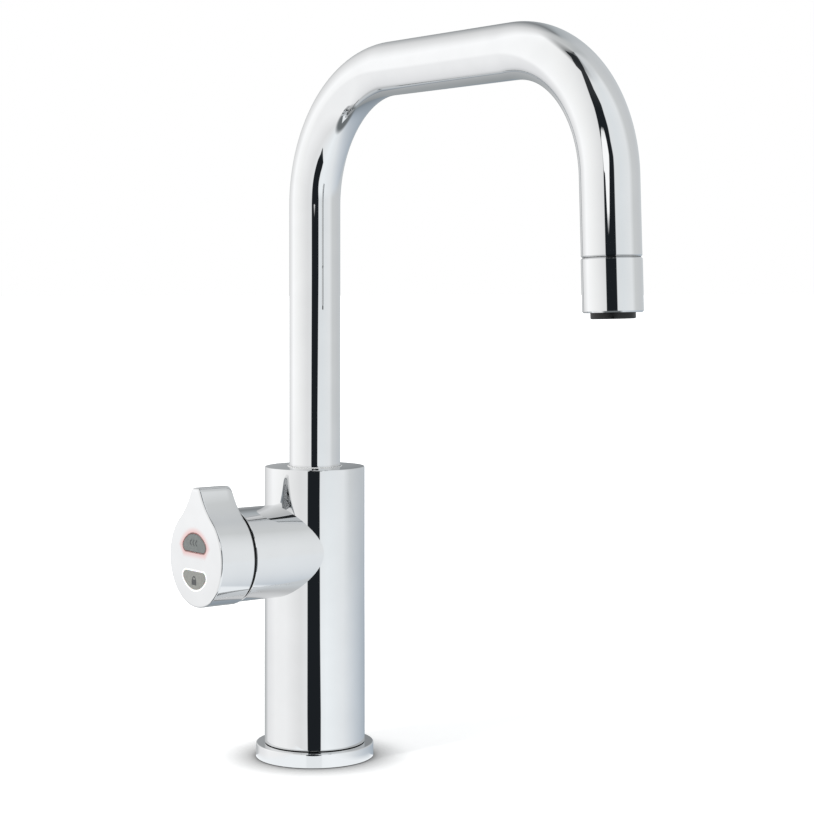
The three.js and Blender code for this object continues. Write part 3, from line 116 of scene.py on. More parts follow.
@dataclass(frozen=True)
class Finish:
    """What a material is, and how its surface was made."""

    name: str
    colour: str
    roughness: float
    metallic: float = 0.0
    spread: str = ""            # the colour that its pattern drifts to
    pattern_mm: float = 5.0     # the size of the pattern's features
    bump_mm: float = 0.0        # how deep the pattern goes
    sheen: float = 0.5          # how much a surface that isn't metal mirrors

    def material(self) -> bpy.types.Material:
        """Return the material, which is made on its first use."""
        made = bpy.data.materials.get(self.name)
        if made is None:
            made = bpy.data.materials.new(self.name)
            made.use_nodes = True
            shader = made.node_tree.nodes["Principled BSDF"]
            shader.inputs["Base Color"].default_value = linear(self.colour)
            shader.inputs["Roughness"].default_value = self.roughness
            shader.inputs["Metallic"].default_value = self.metallic
            shader.inputs["Specular IOR Level"].default_value = self.sheen
            place = add_node(made.node_tree, "TexCoord").outputs["Object"]
            self.dress(made.node_tree, shader, place)
        return made

    def dress(self, tree: Tree, shader: Node, place: Socket) -> None:
        """Give the shader its pattern: here a soft drift of colour and gloss.

        Args:
            tree: The material's node tree.
            shader: Its Principled BSDF.
            place: The output that gives object coordinates in metres.
        """
        grain = add_node(
            tree, "TexNoise", {"Scale": 1 / (self.pattern_mm * MM), "Detail": 3.0}, {"Vector": place}
        ).outputs["Fac"]
        self.tint(tree, shader, grain)
        self.press(tree, shader, grain)

    def tint(self, tree: Tree, shader: Node, grain: Socket) -> None:
        """Let a pattern drift the colour and the roughness.

        Args:
            tree: The material's node tree.
            shader: Its Principled BSDF.
            grain: The pattern, from 0 to 1.
        """
        ends = [(0.3, self.colour), (0.7, self.spread or self.colour)]
        colour = add_node(tree, "ValToRGB", {"stops": ends}, {"Fac": grain})
        tree.links.new(colour.outputs["Color"], shader.inputs["Base Color"])
        gloss = {"To Min": self.roughness * 0.85, "To Max": self.roughness * 1.15}
        rough = add_node(tree, "MapRange", gloss, {"Value": grain})
        tree.links.new(rough.outputs["Result"], shader.inputs["Roughness"])

    def press(self, tree: Tree, shader: Node, height: Socket) -> None:
        """Let a pattern stand as a bump, where the finish has a depth for it.

        Args:
            tree: The material's node tree.
            shader: Its Principled BSDF.
            height: The pattern, from 0 to 1.
        """
        if self.bump_mm:
            bump = add_node(tree, "Bump", {"Distance": self.bump_mm * MM}, {"Height": height})
            tree.links.new(bump.outputs["Normal"], shader.inputs["Normal"])


@dataclass(frozen=True)
class TurnedFinish(Finish):
    """A lathe-cut surface, whose tool marks run round an upright axis."""

    pitch_mm: float = 0.6       # between tool marks, drawn coarse enough to show

    def dress(self, tree: Tree, shader: Node, place: Socket) -> None:
        """Ring the surface with tool marks that waver a little."""
        across = add_node(tree, "Mapping", {"Scale": (0.02, 0.02, 1)}, {"Vector": place})
        lathe = {"Scale": 1 / (self.pitch_mm * MM), "Detail": 2.0, "Roughness": 0.7}
        marks = add_node(tree, "TexNoise", lathe, {"Vector": across.outputs["Vector"]}).outputs["Fac"]
        self.tint(tree, shader, marks)
        self.press(tree, shader, marks)


@dataclass(frozen=True)
class CircuitFinish(Finish):
    """Solder mask over copper tracks on glass-fibre board."""

    track_mm: float = 1.2

    def dress(self, tree: Tree, shader: Node, place: Socket) -> None:
        """Raise square copper tracks under the mask."""
        cells = {"distance": "CHEBYCHEV", "Scale": 1 / (self.track_mm * 2 * MM)}
        grid = add_node(tree, "TexVoronoi", cells, {"Vector": place}).outputs["Distance"]
        track = add_node(tree, "MapRange", {"From Min": 0.42, "From Max": 0.46}, {"Value": grid})
        self.tint(tree, shader, track.outputs["Result"])
        self.press(tree, shader, track.outputs["Result"])


@dataclass(frozen=True)
class GuideFinish(Finish):
    """A frosted light guide that emits light: its lamp's light where it is lit, a painted glow where it is
    not.
    """

    light: str = "#FFFFFF"
    strength: float = 0.0

    def dress(self, tree: Tree, shader: Node, place: Socket) -> None:
        """Frost the plastic, and let it emit the light's colour, which on an unlit ring is a painted glow.
        """
        super().dress(tree, shader, place)
        shader.inputs["Subsurface Weight"].default_value = 0.3
        shader.inputs["Subsurface Scale"].default_value = 0.5 * MM
        shader.inputs["Emission Color"].default_value = linear(self.light)
        shader.inputs["Emission Strength"].default_value = self.strength


@dataclass(frozen=True)
class PaintedGlowFinish(Finish):
    """Plate with a painted glow from the lit ring round the upper button, tinted into its base colour.

    The painted glow follows the button's outline, in the plane of the lever's face.
    """

    # glow: the colour of the painted glow
    glow: str = "#FFFFFF"
    base_mm: float = 105.2      # the button's flat lower edge, above the bench
    across_mm: float = 0.4      # its middle, towards the back
    crown_mm: float = 12.07     # the radius of its round side
    hub_mm: float = -3.57       # the middle of that arc, above the flat edge
    corner_mm: float = 2.5
    # the painted glow is full at ring_mm from the outline and fades out over reach_mm
    ring_mm: float = 0.5        # where the glow is full, from the button's outline
    reach_mm: float = 3.2       # how far on it spreads
    face_mm: float = 68.6       # where the face's plane starts, along the lever's axis

    def dress(self, tree: Tree, shader: Node, place: Socket) -> None:
        """Paint the ring's glow into the plate's colour near the ring, by the distance from the button's
        outline.
        """
        super().dress(tree, shader, place)
        plain = shader.inputs["Base Color"].links[0].from_socket
        hub = (0, self.across_mm * MM, (self.base_mm + self.hub_mm) * MM)
        spoke = add_node(tree, "VectorMath", {"operation": "SUBTRACT", 1: hub}, {0: place}).outputs[0]
        out, side, up = add_node(tree, "SeparateXYZ", {}, {0: spoke}).outputs
        spoke = add_node(tree, "CombineXYZ", {}, {0: side, 1: up}).outputs[0]
        radius = add_node(tree, "VectorMath", {"operation": "LENGTH"}, {0: spoke}).outputs["Value"]
        core = (self.crown_mm - self.corner_mm) * MM
        over = add_node(tree, "Math", {"operation": "SUBTRACT", 1: core}, {0: radius}).outputs[0]
        low = {"operation": "SUBTRACT", 0: (self.corner_mm - self.hub_mm) * MM}
        under = add_node(tree, "Math", low, {1: up}).outputs[0]
        both = add_node(tree, "CombineXYZ", {}, {0: over, 1: under}).outputs[0]
        both = add_node(tree, "VectorMath", {"operation": "MAXIMUM", 1: (0, 0, 0)}, {0: both}).outputs[0]
        away = add_node(
            tree, "VectorMath", {"operation": "DOT_PRODUCT", 1: (1, 1, 1)}, {0: both}
        ).outputs["Value"]
        edge = (self.corner_mm + self.ring_mm) * MM
        near = add_node(tree, "MapRange", {
            "From Min": edge, "From Max": edge + self.reach_mm * MM, "To Min": 1.0, "To Max": 0.0,
            "interpolation_type": "SMOOTHSTEP"}, {"Value": away}).outputs["Result"]
        before = {"operation": "LESS_THAN", 1: -self.face_mm * MM}
        face = add_node(tree, "Math", before, {0: out}).outputs[0]
        part = add_node(tree, "Math", {"operation": "MULTIPLY"}, {0: near, 1: face}).outputs[0]
        # painted glow: the plate's base colour is multiplied by the glow's pink near the ring
        painted_glow_tint = add_node(tree, "Mix", {
            "data_type": "RGBA", "blend_type": "MULTIPLY", 7: linear(self.glow)}, {0: part, 6: plain})
        tree.links.new(painted_glow_tint.outputs[2], shader.inputs["Base Color"])


# Chrome over polished brass: a neutral mirror that dims what it passes on, with
# only a trace of polishing haze in patches about as wide as a buffing stroke.
POLISHED_CHROME = Finish("polished_chrome_plate", "#CFD0D1", 0.02, 1.0, "#CCCDCE", 14.0)
# The same plate on the lever, with the hot button ring's pink glow painted into its colour.
LEVER_CHROME_PAINTED_GLOW = PaintedGlowFinish(
    "lever_chrome_painted_glow", "#CFD0D1", 0.02, 1.0, "#CCCDCE", 14.0, glow="#FFDAD7"
)
# Drawn or rolled stainless steel: grey, with a soft grain.
DRAWN_STAINLESS = Finish("drawn_stainless_steel", "#BDC0C4", 0.28, 1.0, "#A9ADB2", 1.5, 0.01)
# Stainless steel off the lathe: bright rings round the axis.
TURNED_STAINLESS = TurnedFinish("turned_stainless_steel", "#C4C7CB", 0.3, 1.0, "#A7ABB0", 3.0, 0.015)
# Unplated machined brass: warm, ringed by its tool marks.
MACHINED_BRASS = TurnedFinish("machined_brass", "#D2B06A", 0.3, 1.0, "#B48F4A", 3.0, 0.02)
# Turned black acetal: a waxy black with a low sheen.
BLACK_ACETAL = TurnedFinish("turned_black_acetal", "#0D0E0F", 0.42, 0.0, "#141516", 3.0, 0.01, 0.3)
# Moulded EPDM: dull, slightly dusty black.
MOULDED_RUBBER = Finish("moulded_epdm_rubber", "#161617", 0.78, 0.0, "#202021", 0.8, 0.02, 0.3)
# Sintered PTFE: a milky white that takes a soft polish.
WHITE_PTFE = Finish("white_ptfe", "#E6E8EA", 0.38, 0.0, "#DADDE0", 2.0, 0.004)
# Green solder mask: glossy, a little lighter where copper lies beneath it.
SOLDER_MASK = CircuitFinish("green_solder_mask", "#24523A", 0.25, 0.0, "#3B7A55", 1.0, 0.03)
# The lever's back plate, whose reflection shows mid grey on the column.
SATIN_PLATE = Finish("satin_back_plate", "#C2C4C5", 0.24, 1.0, "#B9BBBD", 4.0, 0.004)
# Smoked polycarbonate, moulded and lightly frosted: grey, with depth.
SMOKED_PLASTIC = Finish("smoked_polycarbonate", "#6A6F6E", 0.34, 0.0, "#787D7B", 1.4, 0.004)
# The lower button's plastic, which is a little paler.
PALE_SMOKED = Finish("pale_smoked_polycarbonate", "#8C8D88", 0.34, 0.0, "#979892", 1.4, 0.004)
# The dark mark on a button's face.
MARK_INK = Finish("dark_button_mark", "#3C3E40", 0.5, 0.0, "#4A4C4E", 0.6, 0.002)
# Moulded grey nylon, as on a switch's body.
GREY_NYLON = Finish("moulded_grey_nylon", "#8C8F90", 0.5, 0.0, "#7D8081", 0.7, 0.008)
# Frosted clear polycarbonate: the ring round an unlit button stays white by a painted glow, a faint white
# emission with no lamp behind it.
CLEAR_GUIDE_PAINTED_GLOW = GuideFinish("frosted_light_guide_painted_glow", "#F4F5F5", 0.35, 0.0, "#FFFFFF", 1.0, strength=0.4)
# The same ring with its red lamp on: its smoked edge glows a dull brownish pink, from a weak emission for
# the lamp and a base colour painted brownish pink for the lamp's light.
LIT_GUIDE = GuideFinish(
    "lit_light_guide", "#8F6E6A", 0.35, 0.0, "#997874", 1.0, light="#FF9A90", strength=0.06
)

SLOT_FINISHES: dict[str, Finish] = {
    "chrome": POLISHED_CHROME,
    "stainless": TURNED_STAINLESS,
    "brass": MACHINED_BRASS,
    "black_acetal": BLACK_ACETAL,
    "black_rubber": MOULDED_RUBBER,
    "white_ptfe": WHITE_PTFE,
    "circuit_board": SOLDER_MASK,
    "smoked_plastic": SMOKED_PLASTIC,
    "clear_plastic": CLEAR_GUIDE_PAINTED_GLOW,
    "grey_plastic": GREY_NYLON,
}
NODE_FINISHES: dict[str, Finish] = {
    "hot_riser_tube": DRAWN_STAINLESS,
    "chilled_riser_tube": DRAWN_STAINLESS,
    "inner_spout_tube": DRAWN_STAINLESS,
    "centring_spring": DRAWN_STAINLESS,
}


# ---- shaping -----------------------------------------------------------------


class Form:
    """A closed mesh in millimetres, which bmesh operators shape into a piece."""

    def __init__(self) -> None:
        """Start with nothing."""
        self.bm = bmesh.new()

    @classmethod
    def turned(
        cls, profile: Sequence[tuple[float, float, float]], steps: int = ROUND_STEPS
    ) -> "Form":
        """Turn a closed profile about Z.

        Args:
            profile: Each corner's radius, height and rounding.
            steps: How many facets go round it.

        Returns:
            The turned solid.
        """
        form = cls()
        bm = form.bm
        corners = [bm.verts.new((r, 0, z)) for r, z, _ in profile]
        for a, b in zip(corners, corners[1:] + corners[:1]):
            if a.co.x or b.co.x:
                bm.edges.new((a, b))
        for corner, (_, _, rounding) in zip(corners, profile):
            if rounding:
                bmesh.ops.bevel(
                    bm, geom=[corner, *corner.link_edges], offset=rounding, offset_type="OFFSET",
                    segments=4, profile=0.5, affect="VERTICES", material=-1,
                )
        bmesh.ops.spin(
            bm, geom=bm.verts[:] + bm.edges[:], cent=(0, 0, 0), axis=(0, 0, 1),
            angle=2 * math.pi, steps=steps, use_merge=True,
        )
        return form.closed()

    def closed(self) -> "Form":
        """Merge what meets, and point every face outwards."""
        bmesh.ops.remove_doubles(self.bm, verts=self.bm.verts, dist=1e-4)
        bmesh.ops.dissolve_degenerate(self.bm, edges=self.bm.edges, dist=1e-5)
        bmesh.ops.recalc_face_normals(self.bm, faces=self.bm.faces)
        return self

    def placed(self, matrix: Matrix) -> "Form":
        """Move the whole form by a matrix in millimetres."""
        bmesh.ops.transform(self.bm, matrix=matrix, verts=self.bm.verts)
        return self

    def join(self, other: "Form") -> "Form":
        """Take in another form's mesh as it is."""
        spare = bpy.data.meshes.new("spare")
        other.bm.to_mesh(spare)
        self.bm.from_mesh(spare)
        bpy.data.meshes.remove(spare)
        return self

    def sweep(self, edges: list, centre: Vector, axis: Vector, turn: float, steps: int) -> list:
        """Carry a loop of edges round an axis.

        Args:
            edges: The loop.
            centre: A point on the axis.
            axis: The axis's direction.
            turn: The angle in radians.
            steps: How many rings the turn gets.

        Returns:
            The loop at the far end.
        """
        ends = {v for e in edges for v in e.verts}
        done = bmesh.ops.spin(
            self.bm, geom=[*ends, *edges], cent=centre, axis=axis, angle=turn, steps=steps
        )
        return [g for g in done["geom_last"] if isinstance(g, bmesh.types.BMEdge)]

    def extend(self, edges: list, way: Vector, scale: float = 1.0) -> list:
        """Push a loop of edges out in a straight line.

        Args:
            edges: The loop.
            way: How far, and which way.
            scale: How much the loop grows about its middle.

        Returns:
            The loop at the far end.
        """
        made = bmesh.ops.extrude_edge_only(self.bm, edges=edges)["geom"]
        verts = [g for g in made if isinstance(g, bmesh.types.BMVert)]
        bmesh.ops.translate(self.bm, vec=way, verts=verts)
        if scale != 1.0:
            middle = sum((v.co for v in verts), Vector()) / len(verts)
            there = Matrix.Translation(middle)
            bmesh.ops.transform(
                self.bm, matrix=there @ Matrix.Scale(scale, 4) @ there.inverted(), verts=verts
            )
        return [g for g in made if isinstance(g, bmesh.types.BMEdge)]

    def bridged(self, first: list, second: list) -> None:
        """Join two loops of edges by a band of faces."""
        bmesh.ops.bridge_loops(self.bm, edges=[*first, *second])

    def cut(self, others: Iterable["Form"], operation: str = "DIFFERENCE") -> "Form":
        """Cut other forms out of this one, or melt them into it.

        Args:
            others: The cutters.
            operation: "DIFFERENCE" or "UNION".

        Returns:
            A new form.
        """
        base = self.stand_in()
        cutters = [other.stand_in() for other in others]
        for cutter in cutters:
            change = base.modifiers.new("cut", "BOOLEAN")
            change.operation = operation
            change.solver = "EXACT"
            change.object = cutter
        result = Form()
        result.bm.from_object(base, bpy.context.evaluated_depsgraph_get())
        for spare in (base, *cutters):
            mesh = spare.data
            bpy.data.objects.remove(spare)
            bpy.data.meshes.remove(mesh)
        bmesh.ops.remove_doubles(result.bm, verts=result.bm.verts, dist=1e-4)
        bmesh.ops.dissolve_degenerate(result.bm, edges=result.bm.edges, dist=1e-4)
        return result

    def stand_in(self) -> bpy.types.Object:
        """Return an object that holds the form for a moment."""
        mesh = bpy.data.meshes.new("stand_in")
        self.bm.to_mesh(mesh)
        made = bpy.data.objects.new("stand_in", mesh)
        bpy.context.scene.collection.objects.link(made)
        return made

    def piece(
        self, name: str, finish: Finish, body: str, slot: str, replaces: Sequence[str] = ()
    ) -> bpy.types.Object:
        """Make the form a finished piece that rides on a body of the frame.

        Args:
            name: The piece's name.
            finish: Its material.
            body: The body that it rides on.
            slot: The material slot of the record that it stands for; not used.
            replaces: The nodes that it stands for.

        Returns:
            The piece's object.
        """
        bmesh.ops.scale(self.bm, vec=(MM, MM, MM), verts=self.bm.verts)
        mesh = bpy.data.meshes.new(name)
        self.bm.to_mesh(mesh)
        self.bm.free()
        mesh.shade_smooth()
        mesh.set_sharp_from_angle(angle=CREASE)
        mesh.materials.append(finish.material())
        made = bpy.data.objects.new(name, mesh)
        bpy.context.scene.collection.objects.link(made)
        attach(made, body)
        if replaces:
            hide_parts(*replaces)
        log.info("%s: %d faces, %s", name, len(mesh.polygons), finish.name)
        return made


def even_gloss(piece: bpy.types.Object) -> None:
    """Keep broad faces true beside their roundings, so that they mirror evenly."""
    even = piece.modifiers.new("even_gloss", "WEIGHTED_NORMAL")
    even.mode = "FACE_AREA"
    even.keep_sharp = True


@dataclass(frozen=True)
class RoundWall:
    """A straight round wall, which knows its true normal at every point."""

    radius: float
    axis: Vector
    centre: Vector = field(default_factory=lambda: Vector((0, 0, 0)))

    def normal(self, point: Vector, facing: Vector) -> Vector | None:
        """Return the wall's normal at a point, or None where the face isn't on it.

        Args:
            point: The point, in metres.
            facing: The facet's own normal.
        """
        out = point / MM - self.centre
        out -= self.axis * out.dot(self.axis)
        if abs(out.length - self.radius) > 0.02 or abs(out.normalized().dot(facing)) < 0.99:
            return None
        return out.normalized() * math.copysign(1, out.dot(facing))


def true_gloss(piece: bpy.types.Object, walls: Sequence[RoundWall]) -> None:
    """Give a cut piece's round walls their true normals.

    Args:
        piece: The piece.
        walls: Every round wall that it has.
    """
    mesh = piece.data
    normals = [corner.vector.copy() for corner in mesh.corner_normals]
    for face in mesh.polygons:
        for wall in walls:
            points = [mesh.vertices[i].co for i in face.vertices]
            found = [wall.normal(point, face.normal) for point in points]
            if all(found):
                for loop, normal in zip(face.loop_indices, found):
                    normals[loop] = normal
                break
    mesh.normals_split_custom_set([tuple(n) for n in normals])


# ---- the pieces --------------------------------------------------------------


def rod(
    radius: float, start: float, end: float, x: float = 0.0, y: float = 0.0, sides: int = 64
) -> Form:
    """Return a plain bar along Z.

    Args:
        radius: Its radius, out to its corners.
        start: Where it starts along Z.
        end: Where it ends.
        x: Its axis's place.
        y: Its axis's place.
        sides: How many sides it has: six make a hexagon, many a round bar.

    Returns:
        The bar.
    """
    bar = Form.turned([(0, start, 0), (radius, start, 0), (radius, end, 0), (0, end, 0)], sides)
    return bar.placed(Matrix.Translation((x, y, 0)))


def rear_hole(radius: float, start: float, end: float, height: float) -> Form:
    """Return the bar that drills a hole towards the back, from the column's axis."""
    turn = Matrix.Rotation(-math.pi / 2, 4, "X")
    return rod(radius, start, end).placed(Matrix.Translation((0, 0, height)) @ turn)


def band(bore: float, radius: float, start: float, end: float) -> Form:
    """Return a plain ring about Z."""
    return Form.turned([(bore, start, 0), (radius, start, 0), (radius, end, 0), (bore, end, 0)])


def outward(height: float) -> Matrix:
    """Return the frame at a height on the column's axis whose Z runs out to the lever."""
    turn = Matrix(((0, 0, -1), (-1, 0, 0), (0, 1, 0))).to_4x4()
    return Matrix.Translation((0, 0, height)) @ turn


@dataclass
class BenchFlange:
    """The round flange and the gasket that the column stands on."""

    gasket: float = 0.8
    gasket_radius: float = 28.15
    gasket_play: float = 0.1    # between the gasket and the skirt round it
    skirt: float = 0.3          # the flange's rim hangs down round the gasket to here
    radius: float = 28.75
    top: float = 7.0
    bore: float = 16.4
    upstand_radius: float = 21.7
    upstand_bore: float = 19.5
    upstand_top: float = 13.0
    grub_height: float = 10.5
    grub_radius: float = 2.2

    def build(self) -> None:
        """Turn the flange and its gasket, and drill the grub screw's hole."""
        recess = self.gasket_radius + self.gasket_play
        flange = Form.turned([
            (self.bore, self.gasket, 0.2), (recess, self.gasket, 0),
            (recess, self.skirt, 0.05), (self.radius, self.skirt, 0.12),
            (self.radius, self.top, 0.6), (self.upstand_radius, self.top, 0),
            (self.upstand_radius, self.upstand_top, 0.4),
            (self.upstand_bore, self.upstand_top, 0.4), (self.upstand_bore, self.top, 0),
            (self.bore, self.top, 0.2),
        ]).cut([rear_hole(self.grub_radius, self.upstand_bore - 1, self.radius - 5, self.grub_height)])
        even_gloss(flange.piece("flange", POLISHED_CHROME, "root", "chrome", ["base_flange"]))
        gasket = Form.turned([
            (self.bore, 0, 0), (self.gasket_radius, 0, 0.1),
            (self.gasket_radius, self.gasket, 0.1), (self.bore, self.gasket, 0),
        ])
        gasket.piece("gasket", MOULDED_RUBBER, "root", "black_rubber", ["base_gasket"])


@dataclass
class ColumnBody:
    """The column with the boss that carries the lever, one plated brass body."""

    radius: float = 24.5
    bore: float = 22.0
    flange_top: float = 7.0
    bottom: float = 7.32        # the joint below it shows as a dark line
    top: float = 141.8
    plate: float = 4.0
    hole: float = 13.5
    edge: float = 0.5
    # seal: a black ring in the joint under the column, a dark part that paints the joint's shade line
    seal_radius: float = 24.1
    seal_inset: float = 0.1     # of its bore from the column's
    seal_play: float = 0.02     # between it and the metal above and below
    boss_height: float = 102.0
    boss_root: float = 8.0      # where the boss starts, inside the column
    boss_radius: float = 22.2
    boss_bore: float = 19.2
    boss_neck: float = 15.0
    boss_end: float = 48.65
    boss_edge: float = 0.45
    boss_shoulder: float = 36.0
    # rim: a black ring in the gap behind the lever, partly painted shade: it darkens the gap in front of the
    # black bearing carrier
    rim_bore: float = 20.2      # the black rim that fills the gap behind the lever
    rim_radius: float = 21.2
    rim_play: float = 0.05      # between it and the end of the boss
    rim_end: float = 50.3
    screw_radius: float = 2.3
    screw_heights: tuple[float, float] = (10.5, 131.85)
    ring_bore: float = 12.7
    ring_wall: float = 0.7
    ring_lip: float = 0.3

    def along_boss(self) -> Matrix:
        """Return the frame whose Z runs out along the boss."""
        return outward(self.boss_height)

    def build(self) -> None:
        """Melt the column and the boss together, bore them, and line the top."""
        column = Form.turned([
            (0, self.bottom, 0), (self.radius, self.bottom, 0.15),
            (self.radius, self.top, self.edge), (0, self.top, 0),
        ], FINE_STEPS)
        boss = Form.turned([
            (0, self.boss_root, 0), (self.boss_radius, self.boss_root, 0),
            (self.boss_radius, self.boss_end, self.boss_edge), (0, self.boss_end, 0),
        ], FINE_STEPS).placed(self.along_boss())
        hollow = Form.turned([
            (0, self.bottom - 1, 0), (self.bore, self.bottom - 1, 0),
            (self.bore, self.top - self.plate, 1.0), (self.hole, self.top - self.plate, 0),
            (self.hole, self.top + 1, 0), (0, self.top + 1, 0),
        ], FINE_STEPS)
        pocket = Form.turned([
            (0, self.boss_neck, 0), (self.boss_neck, self.boss_neck, 0),
            (self.boss_neck, self.boss_shoulder, 0), (self.boss_bore, self.boss_shoulder, 0),
            (self.boss_bore, self.boss_end + 1, 0), (0, self.boss_end + 1, 0),
        ], FINE_STEPS).placed(self.along_boss())
        holes = [rear_hole(self.screw_radius, self.bore - 1, self.radius + 1, z) for z in self.screw_heights]
        solid = column.cut([boss], "UNION").cut([hollow, pocket, *holes])
        body = solid.piece("column_body", POLISHED_CHROME, "root", "chrome", ["tap_body"])
        up, out = Vector((0, 0, 1)), Vector((-1, 0, 0))
        middle = Vector((0, 0, self.boss_height))
        true_gloss(body, [
            RoundWall(self.radius, up), RoundWall(self.bore, up), RoundWall(self.hole, up),
            RoundWall(self.boss_radius, out, middle), RoundWall(self.boss_bore, out, middle),
            RoundWall(self.boss_neck, out, middle),
        ])
        self.line_joints()

    def line_joints(self) -> None:
        """Turn the black seal and rim, dark parts that paint the joints' shade lines, and the ring that the
        spout slides in.
        """
        low, high = self.flange_top + self.seal_play, self.bottom - self.seal_play
        # painted shade: this black seal stands in the joint's shadow line
        seal = band(self.bore + self.seal_inset, self.seal_radius, low, high)
        seal.piece("column_shadow_seal", MOULDED_RUBBER, "root", "black_rubber")
        # partly painted shade: the black rim darkens the gap behind the lever
        rim = band(self.rim_bore, self.rim_radius, self.boss_end + self.rim_play, self.rim_end)
        rim.placed(self.along_boss()).piece("boss_gap_shadow_rim", BLACK_ACETAL, "root", "black_acetal")
        lip = self.top + self.ring_lip
        wall = self.ring_bore + self.ring_wall
        ring = Form.turned([
            (self.ring_bore, self.top - self.plate, 0), (wall, self.top - self.plate, 0),
            (wall, lip, 0.2), (self.ring_bore, lip, 0.15),
        ])
        ring.piece("slip_ring", WHITE_PTFE, "root", "white_ptfe", ["spout_slip_ring"])


@dataclass
class Spout:
    """The bent spout with its nozzle, all of which swivel on the column."""

    radius: float = 12.5
    wall: float = 1.2
    foot: float = 139.3
    bend_start: float = 269.3
    rear_bend: float = 62.1
    arm: float = 86.95
    front_bend: float = 58.6
    lean: float = math.radians(2.1)
    leg: float = 33.25
    chamfer: float = 0.6
    round_steps: int = 112
    bend_steps: int = 72

    def shell(self, form: Form, radius: float) -> tuple[list, list]:
        """Run one wall of the tube along the spout.

        Args:
            form: The form that gets the wall.
            radius: The wall's radius.

        Returns:
            The loops of edges at its two ends.
        """
        made = bmesh.ops.create_circle(form.bm, segments=self.round_steps, radius=radius)
        start = [e for e in form.bm.edges if e.verts[0] in set(made["verts"])]
        bmesh.ops.translate(form.bm, vec=(0, 0, self.foot), verts=made["verts"])
        across = Vector((1, 0, 0))
        loop = form.extend(start, Vector((0, 0, self.bend_start - self.foot)))
        centre = Vector((0, -self.rear_bend, self.bend_start))
        loop = form.sweep(loop, centre, across, math.pi / 2, self.bend_steps)
        loop = form.extend(loop, Vector((0, -self.arm, 0)))
        centre = self.front_centre()
        loop = form.sweep(loop, centre, across, math.pi / 2 - self.lean, self.bend_steps)
        loop = form.extend(loop, self.down() * (self.leg - self.chamfer))
        narrow = 1.0 if radius < self.radius else (radius - self.chamfer) / radius
        return start, form.extend(loop, self.down() * self.chamfer, narrow)

    def front_centre(self) -> Vector:
        """Return the middle of the front bend."""
        height = self.bend_start + self.rear_bend - self.front_bend
        return Vector((0, -self.rear_bend - self.arm, height))

    def down(self) -> Vector:
        """Return the way that the leg points."""
        return Vector((0, -math.sin(self.lean), -math.cos(self.lean)))

    def nozzle_frame(self) -> Matrix:
        """Return the frame at the end of the tube whose Z runs down the leg."""
        turn = math.pi / 2 - self.lean
        spoke = Vector((0, -math.sin(turn), math.cos(turn))) * self.front_bend
        end = self.front_centre() + spoke + self.down() * self.leg
        return Matrix.Translation(end) @ Matrix.Rotation(math.pi - self.lean, 4, "X")

    def build(self) -> None:
        """Bend the tube, then close it with its nozzle."""
        tube = Form()
        outer = self.shell(tube, self.radius)
        inner = self.shell(tube, self.radius - self.wall)
        for one, other in zip(outer, inner):
            tube.bridged(one, other)
        tube.closed()
        even_gloss(tube.piece("spout", POLISHED_CHROME, "spout", "chrome", ["spout_tube"]))
        Nozzle().build(self.nozzle_frame())


@dataclass
class Nozzle:
    """The sleeve at the end of the spout and the aerator in it."""

    bore: float = 11.3
    radius: float = 12.6
    top: float = 0.25
    bottom: float = 22.65
    thread_top: float = 4.2
    thread_radius: float = 10.5
    lip: float = 1.65
    neck: float = 9.3
    play: float = 0.2
    edge: float = 0.6
    cup_radius: float = 10.2
    cup_bore: float = 8.6
    cup_top: float = 10.7
    ledge: float = 14.9
    outlet_bore: float = 7.2
    outlet: float = 25.15
    notches: int = 4
    notch_width: float = 1.0
    notch_depth: float = 0.8
    notch_cutter: float = 2.0   # the size of the block that cuts a notch
    washer_margin: float = 0.05 # of its bore from the sleeve's
    washer_inset: float = 0.1   # of its rim from the sleeve's end
    washer_play: float = 0.03   # between it and the metal above and below

    def build(self, place: Matrix) -> None:
        """Turn the sleeve and the aerator, and notch the aerator's edge.

        Args:
            place: The frame whose Z runs down the leg.
        """
        lip_top = self.bottom - self.lip
        narrow = self.radius - self.edge
        sleeve = Form.turned([
            (self.bore, self.top, 0), (narrow, self.top, 0),
            (self.radius, self.top + self.edge, 0), (self.radius, self.bottom - self.edge, 0),
            (narrow, self.bottom, 0), (self.neck + self.play, self.bottom, 0.1),
            (self.neck + self.play, lip_top, 0), (self.thread_radius, lip_top, 0),
            (self.thread_radius, self.thread_top, 0), (self.bore, self.thread_top, 0),
        ]).placed(place)
        even_gloss(sleeve.piece("nozzle", POLISHED_CHROME, "spout", "chrome", ["nozzle_sleeve"]))
        washer = band(
            self.bore + self.washer_margin, narrow - self.washer_inset,
            self.washer_play, self.top - self.washer_play,
        ).placed(place)
        washer.piece("nozzle_washer", MOULDED_RUBBER, "spout", "black_rubber")
        shoulder = lip_top - self.play
        cup = Form.turned([
            (self.cup_bore, self.cup_top, 0), (self.cup_radius, self.cup_top, 0),
            (self.cup_radius, shoulder, 0), (self.neck, shoulder, 0),
            (self.neck, self.outlet, self.edge), (self.outlet_bore, self.outlet, 0.3),
            (self.outlet_bore, self.ledge, 0), (self.cup_bore, self.ledge, 0),
        ], 96)
        aerator = cup.cut([self.notch(i) for i in range(self.notches)]).placed(place)
        aerator.piece("aerator", BLACK_ACETAL, "spout", "black_acetal", ["aerator_housing"])

    def notch(self, index: int) -> Form:
        """Return the block that cuts a blind notch in the aerator's outer edge."""
        block = Form()
        root = self.outlet - self.notch_depth
        turn = Matrix.Rotation((index + 0.5) * 2 * math.pi / self.notches, 4, "Z")
        there = Matrix.Translation((0, self.neck, root + self.notch_cutter / 2))
        size = Matrix.Diagonal((self.notch_width, self.notch_cutter, self.notch_cutter, 1.0))
        bmesh.ops.create_cube(block.bm, size=1.0, matrix=turn @ there @ size)
        return block


class Facing(Enum):
    """Which way a button's round side points."""

    UP = 1
    DOWN = -1


